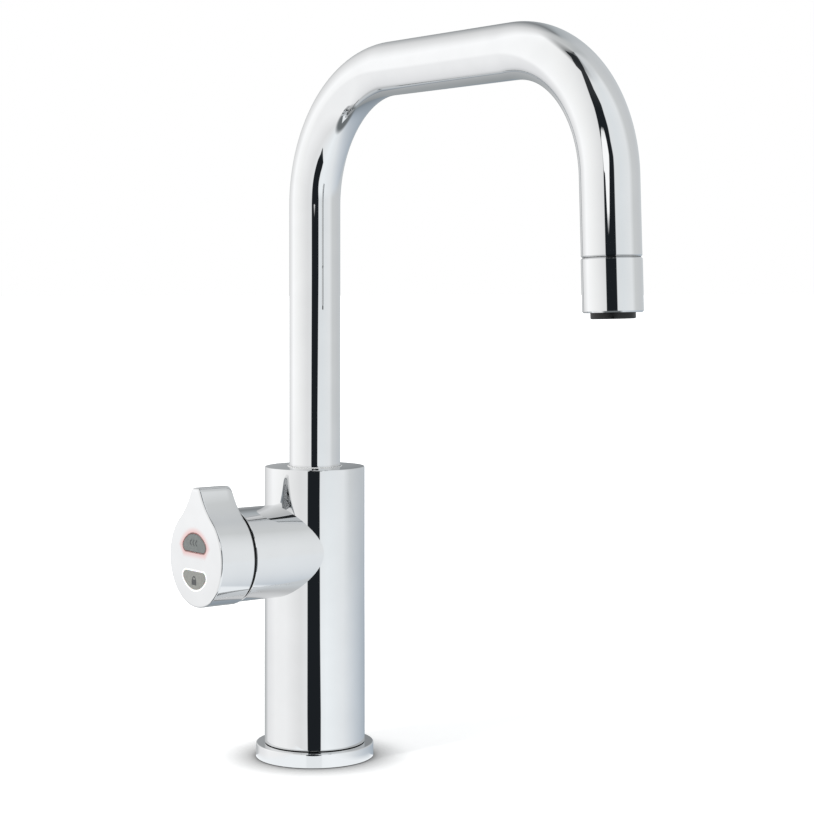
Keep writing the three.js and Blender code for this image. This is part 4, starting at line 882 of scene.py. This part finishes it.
@dataclass
class Dome:
    """The outline that the buttons, their rings and their windows share."""

    facing: Facing
    ring: float                 # how far out its light ring goes
    half_width: float = 9.9
    height: float = 8.5
    corner: float = 2.5
    across: float = -0.4
    middle: float = -1.4
    spread: float = 4.6
    steps: int = 20

    @property
    def crown(self) -> float:
        """Return the radius of the round side, which runs on from the corners."""
        side, drop = self.half_width - self.corner, self.height - self.corner
        return (side ** 2 + drop ** 2 - self.corner ** 2) / (2 * (drop - self.corner))

    @property
    def heart(self) -> Vector:
        """Return the middle of the face, in the lever's frame."""
        return Vector((self.across, self.middle + self.facing.value * (self.spread + self.height / 2)))

    def outline(self, form: Form, grow: float, depth: float) -> list:
        """Draw the outline as a loop of edges.

        Args:
            form: The form that gets it.
            grow: How far it stands outside the button's own outline.
            depth: Its height along the lever's axis.

        Returns:
            The loop's edges.
        """
        bm = form.bm
        known = set(bm.edges)
        reach = self.half_width - self.corner
        start = last = bm.verts.new((reach, -grow, depth))
        hub = Vector((0, self.height - self.crown))
        knee = Vector((reach, self.corner))
        tilt = math.atan2(knee.y - hub.y, knee.x - hub.x)
        for centre, turn in (
            (knee, tilt + math.pi / 2),
            (hub, math.pi - 2 * tilt),
            (Vector((-knee.x, knee.y)), tilt + math.pi / 2),
        ):
            done = bmesh.ops.spin(
                bm, geom=[last], cent=(*centre, depth), axis=(0, 0, 1), angle=turn,
                steps=self.steps,
            )
            last = next(g for g in done["geom_last"] if isinstance(g, bmesh.types.BMVert))
        bm.edges.new((last, start))
        edges = [e for e in bm.edges if e not in known]
        verts = list({v for e in edges for v in e.verts})
        side = self.facing.value
        place = Matrix.Translation((self.across, self.middle + side * self.spread, 0))
        bmesh.ops.transform(
            bm, matrix=place @ Matrix.Diagonal((1, side, 1, 1)), verts=verts
        )
        return edges


def slab(dome: Dome, back: float, front: float, edge: float) -> Form:
    """Pull a dome's outline into a solid with a rounded front edge.

    Args:
        dome: The outline.
        back: Where it starts along the lever's axis.
        front: Where it ends.
        edge: The rounding of its front edge.

    Returns:
        The solid.
    """
    form = Form()
    base = dome.outline(form, 0.0, back)
    face = bmesh.ops.contextual_create(form.bm, geom=base)["faces"][0]
    made = bmesh.ops.extrude_face_region(form.bm, geom=[face])["geom"]
    verts = [g for g in made if isinstance(g, bmesh.types.BMVert)]
    bmesh.ops.translate(form.bm, vec=(0, 0, front - back), verts=verts)
    form.closed()
    rim = [e for e in form.bm.edges if all(abs(v.co.z - front) < 1e-4 for v in e.verts)]
    bmesh.ops.bevel(
        form.bm, geom=rim, offset=edge, offset_type="OFFSET", segments=4, profile=0.5,
        affect="EDGES", material=-1,
    )
    return form


@dataclass
class Mark:
    """A plain sign on a button's face, drawn in flat strokes."""

    back: float
    front: float
    stroke: float = 0.6

    def line(self, start: Vector, arcs: Sequence[tuple[Vector, float]]) -> Form:
        """Draw a line that sets off upwards and turns through arcs.

        Args:
            start: Where it starts, in the lever's frame.
            arcs: The centre and the angle of each arc in turn.

        Returns:
            The line.
        """
        form = Form()
        upright = Matrix.Rotation(math.pi / 2, 4, "X")
        size = Matrix.Diagonal((self.stroke, self.front - self.back, 1, 1))
        place = Matrix.Translation((*start.xy, (self.back + self.front) / 2)) @ upright @ size
        bmesh.ops.create_grid(form.bm, x_segments=1, y_segments=1, size=0.5, matrix=place)
        bmesh.ops.delete(form.bm, geom=form.bm.faces[:], context="FACES_ONLY")
        edges = form.bm.edges[:]
        for centre, turn in arcs:
            edges = form.sweep(edges, centre.to_3d(), Vector((0, 0, 1)), turn, 10)
        bmesh.ops.holes_fill(form.bm, edges=form.bm.edges)
        return form.closed()

    def steam(self, heart: Vector) -> Form:
        """Draw three wavy lines side by side, for heat."""
        bend, tilt, pitch = 0.85, math.radians(60), 2.4
        form = Form()
        for x in (-pitch, 0.0, pitch):
            start = heart + Vector((x, -2 * bend * math.sin(tilt)))
            first = start - Vector((bend, 0))
            second = first + 2 * bend * Vector((math.cos(tilt), math.sin(tilt)))
            third = first + Vector((0, 4 * bend * math.sin(tilt)))
            form.join(self.line(start, [(first, tilt), (second, -2 * tilt), (third, tilt)]))
        return form

    def padlock(self, heart: Vector) -> Form:
        """Draw a closed padlock."""
        width, height, drop = 4.0, 2.6, 0.8
        bow_radius, bow_rise = 1.25, 0.55
        form = Form()
        size = Matrix.Diagonal((width, height, self.front - self.back, 1))
        place = Matrix.Translation((heart.x, heart.y - drop, (self.back + self.front) / 2))
        bmesh.ops.create_cube(form.bm, size=1.0, matrix=place @ size)
        bow = heart + Vector((0, bow_rise))
        return form.join(self.line(bow + Vector((bow_radius, 0)), [(bow, math.pi)]))


@dataclass
class Lever:
    """The teardrop lever with its two lit buttons, which turns on the boss."""

    axis_height: float = 102.0
    radius: float = 23.0
    tip_height: float = 29.2
    tip_radius: float = 4.7
    tip_cut: float = 0.75       # how much of the tip's round is cut off flat
    flank_radius: float = 40.0
    back: float = 50.4
    front: float = 69.0
    edge: float = 1.4           # the rounding of the front edge
    back_edge: float = 0.5
    tip_draw: float = 1.5       # how far the tip draws in towards the boss
    tip_run: float = 4.0        # and over what length
    wall: float = 2.5
    plate: float = 3.0
    plate_play: float = 0.3
    post_radius: float = 2.8    # of the two posts on the back plate
    post_place: float = 15.5    # from the lever's axis
    post_rise: float = 3.8      # in front of the plate
    screw_hole: float = 1.45
    screw_start: float = 0.4    # in front of the plate
    hub_radius: float = 13.12
    hub_rise: float = 3.0
    spindle_hole: float = 8.1
    seat_corner: float = 10.63  # of the spindle's hexagonal seat, from its middle
    leg_hole: float = 1.0       # where the centring spring's leg goes in
    leg_place: tuple[float, float] = (14.65, 1.5)
    face: float = 2.0
    ring_play: float = 0.05     # round the light ring, in its window
    ring_inner: float = 0.15
    ring_proud: float = 0.05
    ring_back: float = 65.6
    button_proud: float = 0.21
    button_edge: float = 0.45
    mark_proud: float = 0.25
    mark_sink: float = 0.05     # how far a mark reaches into its button
    hot: Dome = field(default_factory=lambda: Dome(Facing.UP, 0.6))
    safety: Dome = field(default_factory=lambda: Dome(Facing.DOWN, 0.85))

    def place(self) -> Matrix:
        """Return the frame whose Z runs out along the lever's axis."""
        return outward(self.axis_height)

    def teardrop(self, form: Form, depth: float, inset: float, drop: float) -> list:
        """Draw the lever's outline from its arcs, with the flat across the tip.

        Args:
            form: The form that gets it.
            depth: Its height along the lever's axis.
            inset: How far it is drawn in all round.
            drop: How far its tip is lowered.

        Returns:
            The loop's edges.
        """
        tip = self.tip_height - drop
        near = self.radius + self.flank_radius
        far = self.tip_radius + self.flank_radius
        rise = (near ** 2 - far ** 2 + tip ** 2) / (2 * tip)
        flank = Vector((math.sqrt(near ** 2 - rise ** 2), rise))
        shoulder = math.atan2(flank.y, flank.x)
        neck = math.atan2(flank.y - tip, flank.x)
        flat = self.tip_height + self.tip_radius - self.tip_cut - inset - tip
        brow = math.asin(min(0.998, flat / (self.tip_radius - inset))) - neck
        bm = form.bm
        known = set(bm.edges)
        start = last = bm.verts.new((0, inset - self.radius, depth))
        for centre, turn, steps in (
            (Vector((0, 0)), shoulder + math.pi / 2, 56),
            (flank, neck - shoulder, 24),
            (Vector((0, tip)), brow, 12),
            (None, 0.0, 1),
            (Vector((0, tip)), brow, 12),
            (Vector((-flank.x, flank.y)), neck - shoulder, 24),
            (Vector((0, 0)), shoulder + math.pi / 2, 56),
        ):
            if centre is None:
                across = bm.verts.new((-last.co.x, last.co.y, depth))
                bm.edges.new((last, across))
                last = across
                continue
            done = bmesh.ops.spin(
                bm, geom=[last], cent=(*centre, depth), axis=(0, 0, 1), angle=turn, steps=steps
            )
            last = next(g for g in done["geom_last"] if isinstance(g, bmesh.types.BMVert))
        bmesh.ops.pointmerge(bm, verts=[start, last], merge_co=start.co)
        return [e for e in bm.edges if e not in known]

    def pierce(self, form: Form, rim: list, depth: float) -> list[list]:
        """Fill an outline with a flat face that leaves the two windows open.

        Args:
            form: The lever's shell.
            rim: The outline's edges.
            depth: Where it lies.

        Returns:
            Each window's loop of edges.
        """
        windows = [
            dome.outline(form, dome.ring + self.ring_play, depth) for dome in (self.hot, self.safety)
        ]
        bmesh.ops.triangle_fill(
            form.bm, use_beauty=True, edges=[*rim, *windows[0], *windows[1]], normal=(0, 0, 1)
        )
        return windows

    def drawn(self, depth: float) -> float:
        """Return how far the tip is lowered at a depth, along a quarter of an ellipse."""
        left = max(0.0, 1 - (depth - self.back) / self.tip_run)
        return self.tip_draw * (1 - math.sqrt(1 - left ** 2))

    def rings(self) -> list[tuple[float, float]]:
        """Return the depth and the inset of each outline of the outside, back to front."""
        quarter = [(math.sin(t), math.cos(t)) for t in (i * math.pi / 12 for i in range(7))]
        behind = [(self.back + self.back_edge * (1 - c), self.back_edge * (1 - s)) for s, c in quarter]
        run = [(self.back + self.tip_run * i / 8, 0.0) for i in range(2, 9)]
        ahead = [(self.front - self.edge * (1 - c), self.edge * (1 - s)) for s, c in reversed(quarter)]
        return [*behind, *run, *ahead]

    def shell(self) -> Form:
        """Shape the hollow shell, with its windows open."""
        form = Form()
        rings = [self.teardrop(form, z, inset, self.drawn(z)) for z, inset in self.rings()]
        inside = self.front - self.face
        hollow = [self.teardrop(form, z, self.wall, self.tip_draw) for z in (self.back, inside)]
        for one, other in zip(rings, rings[1:]):
            form.bridged(one, other)
        form.bridged(rings[0], hollow[0])
        form.bridged(*hollow)
        outer = self.pierce(form, rings[-1], self.front)
        inner = self.pierce(form, hollow[1], inside)
        for one, other in zip(outer, inner):
            form.bridged(one, other)
        return form.closed()

    def backplate(self) -> Form:
        """Shape the plate that closes the back, with its hub and its two screw posts."""
        plate = Form()
        front = self.back + self.plate
        loops = [
            self.teardrop(plate, z, self.wall + self.plate_play, self.tip_draw)
            for z in (self.back, front)
        ]
        for loop in loops:
            bmesh.ops.contextual_create(plate.bm, geom=loop)
        plate.bridged(*loops)
        plate.closed()
        places = (-self.post_place, self.post_place)
        posts = [rod(self.post_radius, self.back + 1, front + self.post_rise, x) for x in places]
        screws = [rod(self.screw_hole, front + self.screw_start, front + 5, x) for x in places]
        spring_leg = rod(self.leg_hole, self.back - 1, self.back + 1, *self.leg_place)
        hub = rod(self.hub_radius, self.back + 1, front + self.hub_rise)
        bore = rod(self.spindle_hole, self.back - 1, front + 4)
        seat = rod(self.seat_corner, front, front + 4, sides=6)
        return plate.cut([hub, *posts], "UNION").cut([bore, seat, *screws, spring_leg])

    def build(self) -> None:
        """Make the shell, then fill each window with its ring and its button."""
        shell = self.shell().placed(self.place())
        even_gloss(shell.piece("lever_shell_plate", LEVER_CHROME_PAINTED_GLOW, "lever", "chrome", ["lever_shell"]))
        closing = self.backplate().placed(self.place())
        closing.piece("back_plate", SATIN_PLATE, "lever", "black_acetal", ["lever_backplate"])
        sunk = self.front + self.button_proud - self.mark_sink
        mark = Mark(sunk, self.front + self.mark_proud)
        self.fill(self.hot, "hot", LIT_GUIDE, SMOKED_PLASTIC, mark.steam)
        self.fill(self.safety, "safety", CLEAR_GUIDE_PAINTED_GLOW, PALE_SMOKED, mark.padlock)

    def fill(
        self, dome: Dome, name: str, guide: Finish, plastic: Finish,
        sign: Callable[[Vector], Form],
    ) -> None:
        """Put a light ring and a button in a window.

        Args:
            dome: The window's outline.
            name: What the button is for.
            guide: The ring's finish.
            plastic: The button's finish.
            sign: What draws the mark about the middle of its face.
        """
        ring = Form()
        loops = [
            dome.outline(ring, grow, depth)
            for grow, depth in (
                (dome.ring, self.ring_back), (dome.ring, self.front + self.ring_proud),
                (self.ring_inner, self.front + self.ring_proud), (self.ring_inner, self.ring_back),
            )
        ]
        for one, other in zip(loops, loops[1:] + loops[:1]):
            ring.bridged(one, other)
        ring.closed().placed(self.place())
        ring.piece(f"{name}_ring", guide, "lever", "clear_plastic", [f"{name}_light_ring"])
        button = slab(dome, self.ring_back, self.front + self.button_proud, self.button_edge)
        button.placed(self.place())
        cap = button.piece(
            f"{name}_cap", plastic, f"{name}_button", "smoked_plastic", [f"{name}_button"]
        )
        even_gloss(cap)
        drawn = sign(dome.heart).placed(self.place())
        drawn.piece(f"{name}_mark", MARK_INK, f"{name}_button", "smoked_plastic")


def dress_frame() -> None:
    """Give every node of the frame that still shows the finish of its slot."""
    slots = {part["node"]: part["material_slot"] for part in frame["record"]["subparts"]}
    for name, node in frame["nodes"].items():
        finish = NODE_FINISHES.get(name, SLOT_FINISHES[slots[name]])
        node.data.materials.clear()
        node.data.materials.append(finish.material())


# ---- the studio --------------------------------------------------------------


@dataclass(frozen=True)
class Station:
    """A height on a card, with the span that it covers there and how well."""

    height: float
    left: float
    right: float
    cover: float = 1.0


@dataclass(frozen=True)
class Card:
    """A card that stands in the room for the mirrors to find. Sizes in metres."""

    name: str
    colour: str
    strength: float
    away: float                 # from the tap's axis, towards the camera
    soft: float                 # how wide its side edges fade
    stations: tuple[Station, ...]
    flat: bool = False          # lies on the bench, with its heights towards the camera

    def paint(self) -> bpy.types.Material:
        """Return the card's material, which is clear where its cover is nil."""
        made = bpy.data.materials.new(self.name)
        made.use_nodes = True
        tree = made.node_tree
        tree.nodes.clear()
        cover = add_node(tree, "Attribute", {"attribute_name": "cover"}).outputs["Fac"]
        clear = add_node(tree, "BsdfTransparent").outputs[0]
        light = {"Color": linear(self.colour), "Strength": self.strength}
        lit = add_node(tree, "Emission", light).outputs[0]
        mixed = add_node(tree, "MixShader", {}, {0: cover, 1: clear, 2: lit})
        add_node(tree, "OutputMaterial", {}, {"Surface": mixed.outputs[0]})
        return made

    def frame_for(self, looking: Vector) -> Matrix:
        """Return where the card goes, by the way that the camera looks."""
        up = Vector((0, 0, 1))
        right = looking.cross(up)
        if self.flat:
            return Matrix((right, -looking, up)).transposed().to_4x4()
        turn = Matrix((right, up, -looking)).transposed().to_4x4()
        return Matrix.Translation(-looking * self.away) @ turn

    def build(self, looking: Vector) -> None:
        """Set the card up across the view, where only mirrors see it.

        Args:
            looking: The way that the camera looks.
        """
        bm = bmesh.new()
        bmesh.ops.create_grid(bm, x_segments=3, y_segments=len(self.stations) - 1, size=1.0)
        cover = bm.verts.layers.float.new("cover")
        rows = sorted(bm.verts, key=lambda v: (round(v.co.y, 5), v.co.x))
        fade = self.soft / 2
        for row, at in enumerate(self.stations):
            spots = (
                (at.left - fade, 0.0), (at.left + fade, at.cover),
                (at.right - fade, at.cover), (at.right + fade, 0.0),
            )
            for vert, (across, value) in zip(rows[4 * row:4 * row + 4], spots):
                vert.co = (across, at.height, 0.0)
                vert[cover] = value
        mesh = bpy.data.meshes.new(self.name)
        bm.to_mesh(mesh)
        bm.free()
        card = bpy.data.objects.new(self.name, mesh)
        card.matrix_world = self.frame_for(looking)
        bpy.context.scene.collection.objects.link(card)
        card.visible_camera = False
        card.visible_diffuse = False
        card.visible_shadow = False
        card.visible_transmission = False
        mesh.materials.append(self.paint())


# The dark shape before the camera, from below the bench up to the ceiling.
DARK_CARD = Card("dark_card", "#25292D", 1.0, 0.63, 0.02, (
    Station(-0.32, -0.17, -0.11, 0.0), Station(-0.30, -0.16, -0.09, 0.9), Station(-0.20, -0.13, 0.18),
    Station(-0.11, -0.157, 0.184), Station(-0.05, -0.155, 0.165), Station(0.06, -0.15, 0.152),
    Station(0.13, -0.141, 0.168), Station(0.24, -0.12, 0.222), Station(0.42, -0.12, 0.224),
    Station(0.50, -0.12, 0.192), Station(0.60, -0.121, 0.188), Station(0.70, -0.13, 0.164),
    Station(0.80, -0.16, 0.16, 0.99), Station(0.90, -0.169, 0.116, 0.98),
    Station(1.0, -0.17, 0.079, 0.98), Station(1.4, -0.167, 0.068, 0.97),
    Station(1.6, -0.32, 0.054, 0.96), Station(2.0, -0.42, 0.08, 0.95), Station(2.7, -0.5, 0.09, 0.94),
    Station(3.7, -0.85, 0.1, 0.93), Station(6.0, -1.5, 0.1, 0.9),
))
# The bright opening in it, level with the spout's bends.
PALE_WINDOW = Card("pale_window", "#FAFAFA", 1.6, 0.62, 0.012, (
    Station(0.285, 0.0, 0.03, 0.0), Station(0.30, -0.023, 0.052), Station(0.32, -0.049, 0.072),
    Station(0.34, -0.1, 0.077), Station(0.41, -0.11, 0.091), Station(0.48, -0.097, 0.07),
    Station(0.53, -0.06, 0.05, 0.8), Station(0.56, -0.03, 0.03, 0.0),
))
# The bright bench just before the flange, which its rim mirrors.
BENCH_CARD = Card("bench_card", "#EDF0F2", 1.6, 0.0, 0.01, (
    Station(0.0, -0.034, 0.034, 0.9), Station(0.056, -0.034, 0.034, 0.9),
), flat=True)


@dataclass
class Studio:
    """A white room, lit evenly, with a dark card before the camera."""

    camera_at: Vector = field(default_factory=lambda: Vector((-0.5636, -0.7936, 0.2296)))
    looking: Vector = field(default_factory=lambda: Vector((0.6163, 0.7875, 0.0)))
    lens: float = 87.62
    shift: float = -0.1475
    floor_size: float = 40.0
    floor_lift: float = 0.45
    room_light: float = 1.12
    mirror_light: float = 1.58  # what mirrors see of it, which makes up for their own loss
    key_power: float = 60.0
    key_size: tuple[float, float] = (0.35, 3.2)
    key_at: tuple[float, float, float] = (-3.4, -0.05, 4.0)
    # painted shade: ambient occlusion darkens the bench near the tap, out to this reach
    painted_shade_reach: float = 0.025  # how far from the tap the bench darkens
    painted_shade_power: float = 2.1    # and how steeply

    def set_camera(self) -> None:
        """Stand the camera where the photograph was taken from."""
        data = bpy.data.cameras.new("camera")
        data.lens = self.lens
        data.sensor_width = 36.0
        data.shift_y = self.shift
        data.clip_start = 0.05
        data.clip_end = 100.0
        camera = bpy.data.objects.new("camera", data)
        camera.location = self.camera_at
        camera.rotation_mode = "QUATERNION"
        camera.rotation_quaternion = self.looking.to_track_quat("-Z", "Y")
        bpy.context.scene.collection.objects.link(camera)
        bpy.context.scene.camera = camera

    def band(self, tree: Tree, turn: Socket, *stops: tuple[float, str]) -> Socket:
        """Paint a band round the room.

        Args:
            tree: The world's node tree.
            turn: The output that gives the direction's turn, half when towards the camera.
            stops: Colours by azimuth, in degrees from the camera's direction to its right.

        Returns:
            The output that gives the band's colour.
        """
        places = [(0.5 + azimuth / 360, colour) for azimuth, colour in stops]
        return add_node(tree, "ValToRGB", {"stops": places}, {"Fac": turn}).outputs["Color"]

    def set_world(self) -> None:
        """Light the room evenly, and keep it white behind the tap."""
        world = bpy.data.worlds.new("room")
        world.use_nodes = True
        bpy.context.scene.world = world
        tree = world.node_tree
        tree.nodes.clear()
        way = add_node(tree, "TexCoord").outputs["Generated"]
        height = add_node(tree, "SeparateXYZ", {}, {0: way}).outputs["Z"]
        heading = math.atan2(-self.looking.y, -self.looking.x)
        faced = add_node(tree, "Mapping", {"Rotation": (0, 0, -heading)}, {"Vector": way}).outputs[0]
        turn = add_node(tree, "TexGradient", {"gradient_type": "RADIAL"}, {"Vector": faced}).outputs["Fac"]
        walls = self.band(
            tree, turn, (-180, "#787B7D"), (-170, "#A4A6A7"), (-150, "#D0D0D0"), (-130, "#E4E4E4"),
            (-110, "#FCFCFC"), (-80, "#F3F3F2"), (-30, "#DEDEDE"), (35, "#DBDFE1"), (72, "#E1E3E4"),
            (90, "#C8CACA"), (110, "#C4C6C7"), (150, "#BABDBF"), (170, "#A2A7AA"), (180, "#787B7D"),
        )
        below = self.band(
            tree, turn, (-180, "#8A8E90"), (-150, "#ACAEAF"), (-132, "#DEDEDF"), (-100, "#F0F0F0"),
            (-68, "#F0F0F0"), (-30, "#DFDFDF"), (30, "#ECF0F2"), (70, "#E2E5E7"), (110, "#C4CAD0"),
            (150, "#A2ABB4"), (180, "#7E868D"),
        )
        ceiling = self.band(
            tree, turn, (-180, "#BCBEBE"), (-130, "#C3C4C4"), (-90, "#A5A6A6"), (-50, "#555758"),
            (-10, "#888B8C"), (30, "#CACDCF"), (90, "#CDCFD0"), (130, "#B4B7B8"), (180, "#BCBEBE"),
        )
        nadir = add_node(tree, "RGB")
        nadir.outputs[0].default_value = linear("#6A6E70")
        room = walls
        for other, start, end in (
            (below, -0.03, -0.2), (ceiling, 0.88, 0.975), (nadir.outputs[0], -0.93, -0.975),
        ):
            part = add_node(tree, "MapRange", {
                "interpolation_type": "SMOOTHSTEP", "From Min": start, "From Max": end,
            }, {"Value": height}).outputs["Result"]
            room = add_node(
                tree, "Mix", {"data_type": "RGBA"}, {0: part, 6: room, 7: other}
            ).outputs[2]
        path = add_node(tree, "LightPath")
        power = add_node(tree, "MapRange", {
            "To Min": self.room_light, "To Max": self.mirror_light,
        }, {"Value": path.outputs["Is Glossy Ray"]}).outputs["Result"]
        light = add_node(tree, "Background", {}, {"Color": room, "Strength": power})
        white = add_node(tree, "Background", {"Color": (1, 1, 1, 1), "Strength": 1.0})
        both = add_node(tree, "MixShader", {}, {
            0: path.outputs["Is Camera Ray"], 1: light.outputs[0], 2: white.outputs[0]})
        add_node(tree, "OutputWorld", {}, {"Surface": both.outputs[0]})

    def set_floor(self) -> None:
        """Lay a white bench top that keeps the tap's shadow, with painted shade round the tap's foot."""
        bm = bmesh.new()
        bmesh.ops.create_grid(bm, x_segments=1, y_segments=1, size=self.floor_size)
        mesh = bpy.data.meshes.new("bench_top")
        bm.to_mesh(mesh)
        bm.free()
        floor = bpy.data.objects.new("bench_top", mesh)
        bpy.context.scene.collection.objects.link(floor)
        floor.visible_glossy = False
        made = bpy.data.materials.new("bench_top_white_painted_shade")
        made.use_nodes = True
        tree = made.node_tree
        tree.nodes.clear()
        # painted shade: ambient occlusion darkens the bench's colour and its lift round the tap's foot
        near = {"Distance": self.painted_shade_reach, "samples": 8}
        shade = add_node(tree, "AmbientOcclusion", near).outputs["AO"]
        steep = {"operation": "POWER", 1: self.painted_shade_power}
        shade = add_node(tree, "Math", steep, {0: shade}).outputs[0]
        grey = linear("#E6E6E6")
        dark = add_node(tree, "Mix", {"data_type": "RGBA", 6: (0, 0, 0, 1), 7: grey}, {0: shade})
        matt = add_node(tree, "BsdfDiffuse", {}, {"Color": dark.outputs[2]})
        path = add_node(tree, "LightPath")
        seen = add_node(tree, "Math", {"operation": "MAXIMUM"}, {
            0: path.outputs["Is Camera Ray"], 1: path.outputs["Is Glossy Ray"]})
        seen = add_node(tree, "Math", {"operation": "MAXIMUM"}, {
            0: seen.outputs[0], 1: path.outputs["Is Transmission Ray"]})
        place = add_node(tree, "TexCoord").outputs["Object"]
        reach = add_node(tree, "VectorMath", {"operation": "LENGTH"}, {0: place}).outputs["Value"]
        lift = add_node(tree, "MapRange", {
            "interpolation_type": "SMOOTHSTEP", "From Min": 0.2, "From Max": 0.6,
            "To Min": self.floor_lift, "To Max": 0.9}, {"Value": reach}).outputs["Result"]
        # the painted shade dims the lift as well as the colour
        for factor in (seen.outputs[0], shade):
            lift = add_node(tree, "Math", {"operation": "MULTIPLY"}, {0: lift, 1: factor}).outputs[0]
        glow = add_node(tree, "Emission", {}, {"Strength": lift})
        both = add_node(tree, "AddShader", {}, {0: matt.outputs[0], 1: glow.outputs[0]})
        back = add_node(tree, "NewGeometry").outputs["Backfacing"]
        under = add_node(tree, "Math", {"operation": "MULTIPLY"}, {
            0: back, 1: path.outputs["Is Camera Ray"]}).outputs[0]
        clear = add_node(tree, "BsdfTransparent")
        top = add_node(tree, "MixShader", {}, {0: under, 1: both.outputs[0], 2: clear.outputs[0]})
        add_node(tree, "OutputMaterial", {}, {"Surface": top.outputs[0]})
        mesh.materials.append(made)

    def set_key(self) -> None:
        """Hang the tall narrow lamp on the lever's side, which draws the column's shadow."""
        data = bpy.data.lights.new("key", "AREA")
        data.shape = "RECTANGLE"
        data.size, data.size_y = self.key_size
        data.energy = self.key_power
        lamp = bpy.data.objects.new("key", data)
        lamp.location = self.key_at
        lamp.rotation_mode = "QUATERNION"
        lamp.rotation_quaternion = (-Vector(lamp.location)).to_track_quat("-Z", "Y")
        bpy.context.scene.collection.objects.link(lamp)
        lamp.visible_glossy = False

    def build(self) -> None:
        """Set the room up."""
        bpy.context.scene.view_settings.view_transform = "Standard"
        self.set_camera()
        self.set_world()
        self.set_floor()
        self.set_key()
        for card in (DARK_CARD, PALE_WINDOW, BENCH_CARD):
            card.build(self.looking)


def main() -> None:
    """Set up the room, then dress the tap from the bench up."""
    logging.basicConfig(level=logging.INFO, format="%(name)s: %(message)s")
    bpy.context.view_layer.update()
    Studio().build()
    BenchFlange().build()
    ColumnBody().build()
    Spout().build()
    Lever().build()
    dress_frame()


if __name__ == "__main__":
    main()
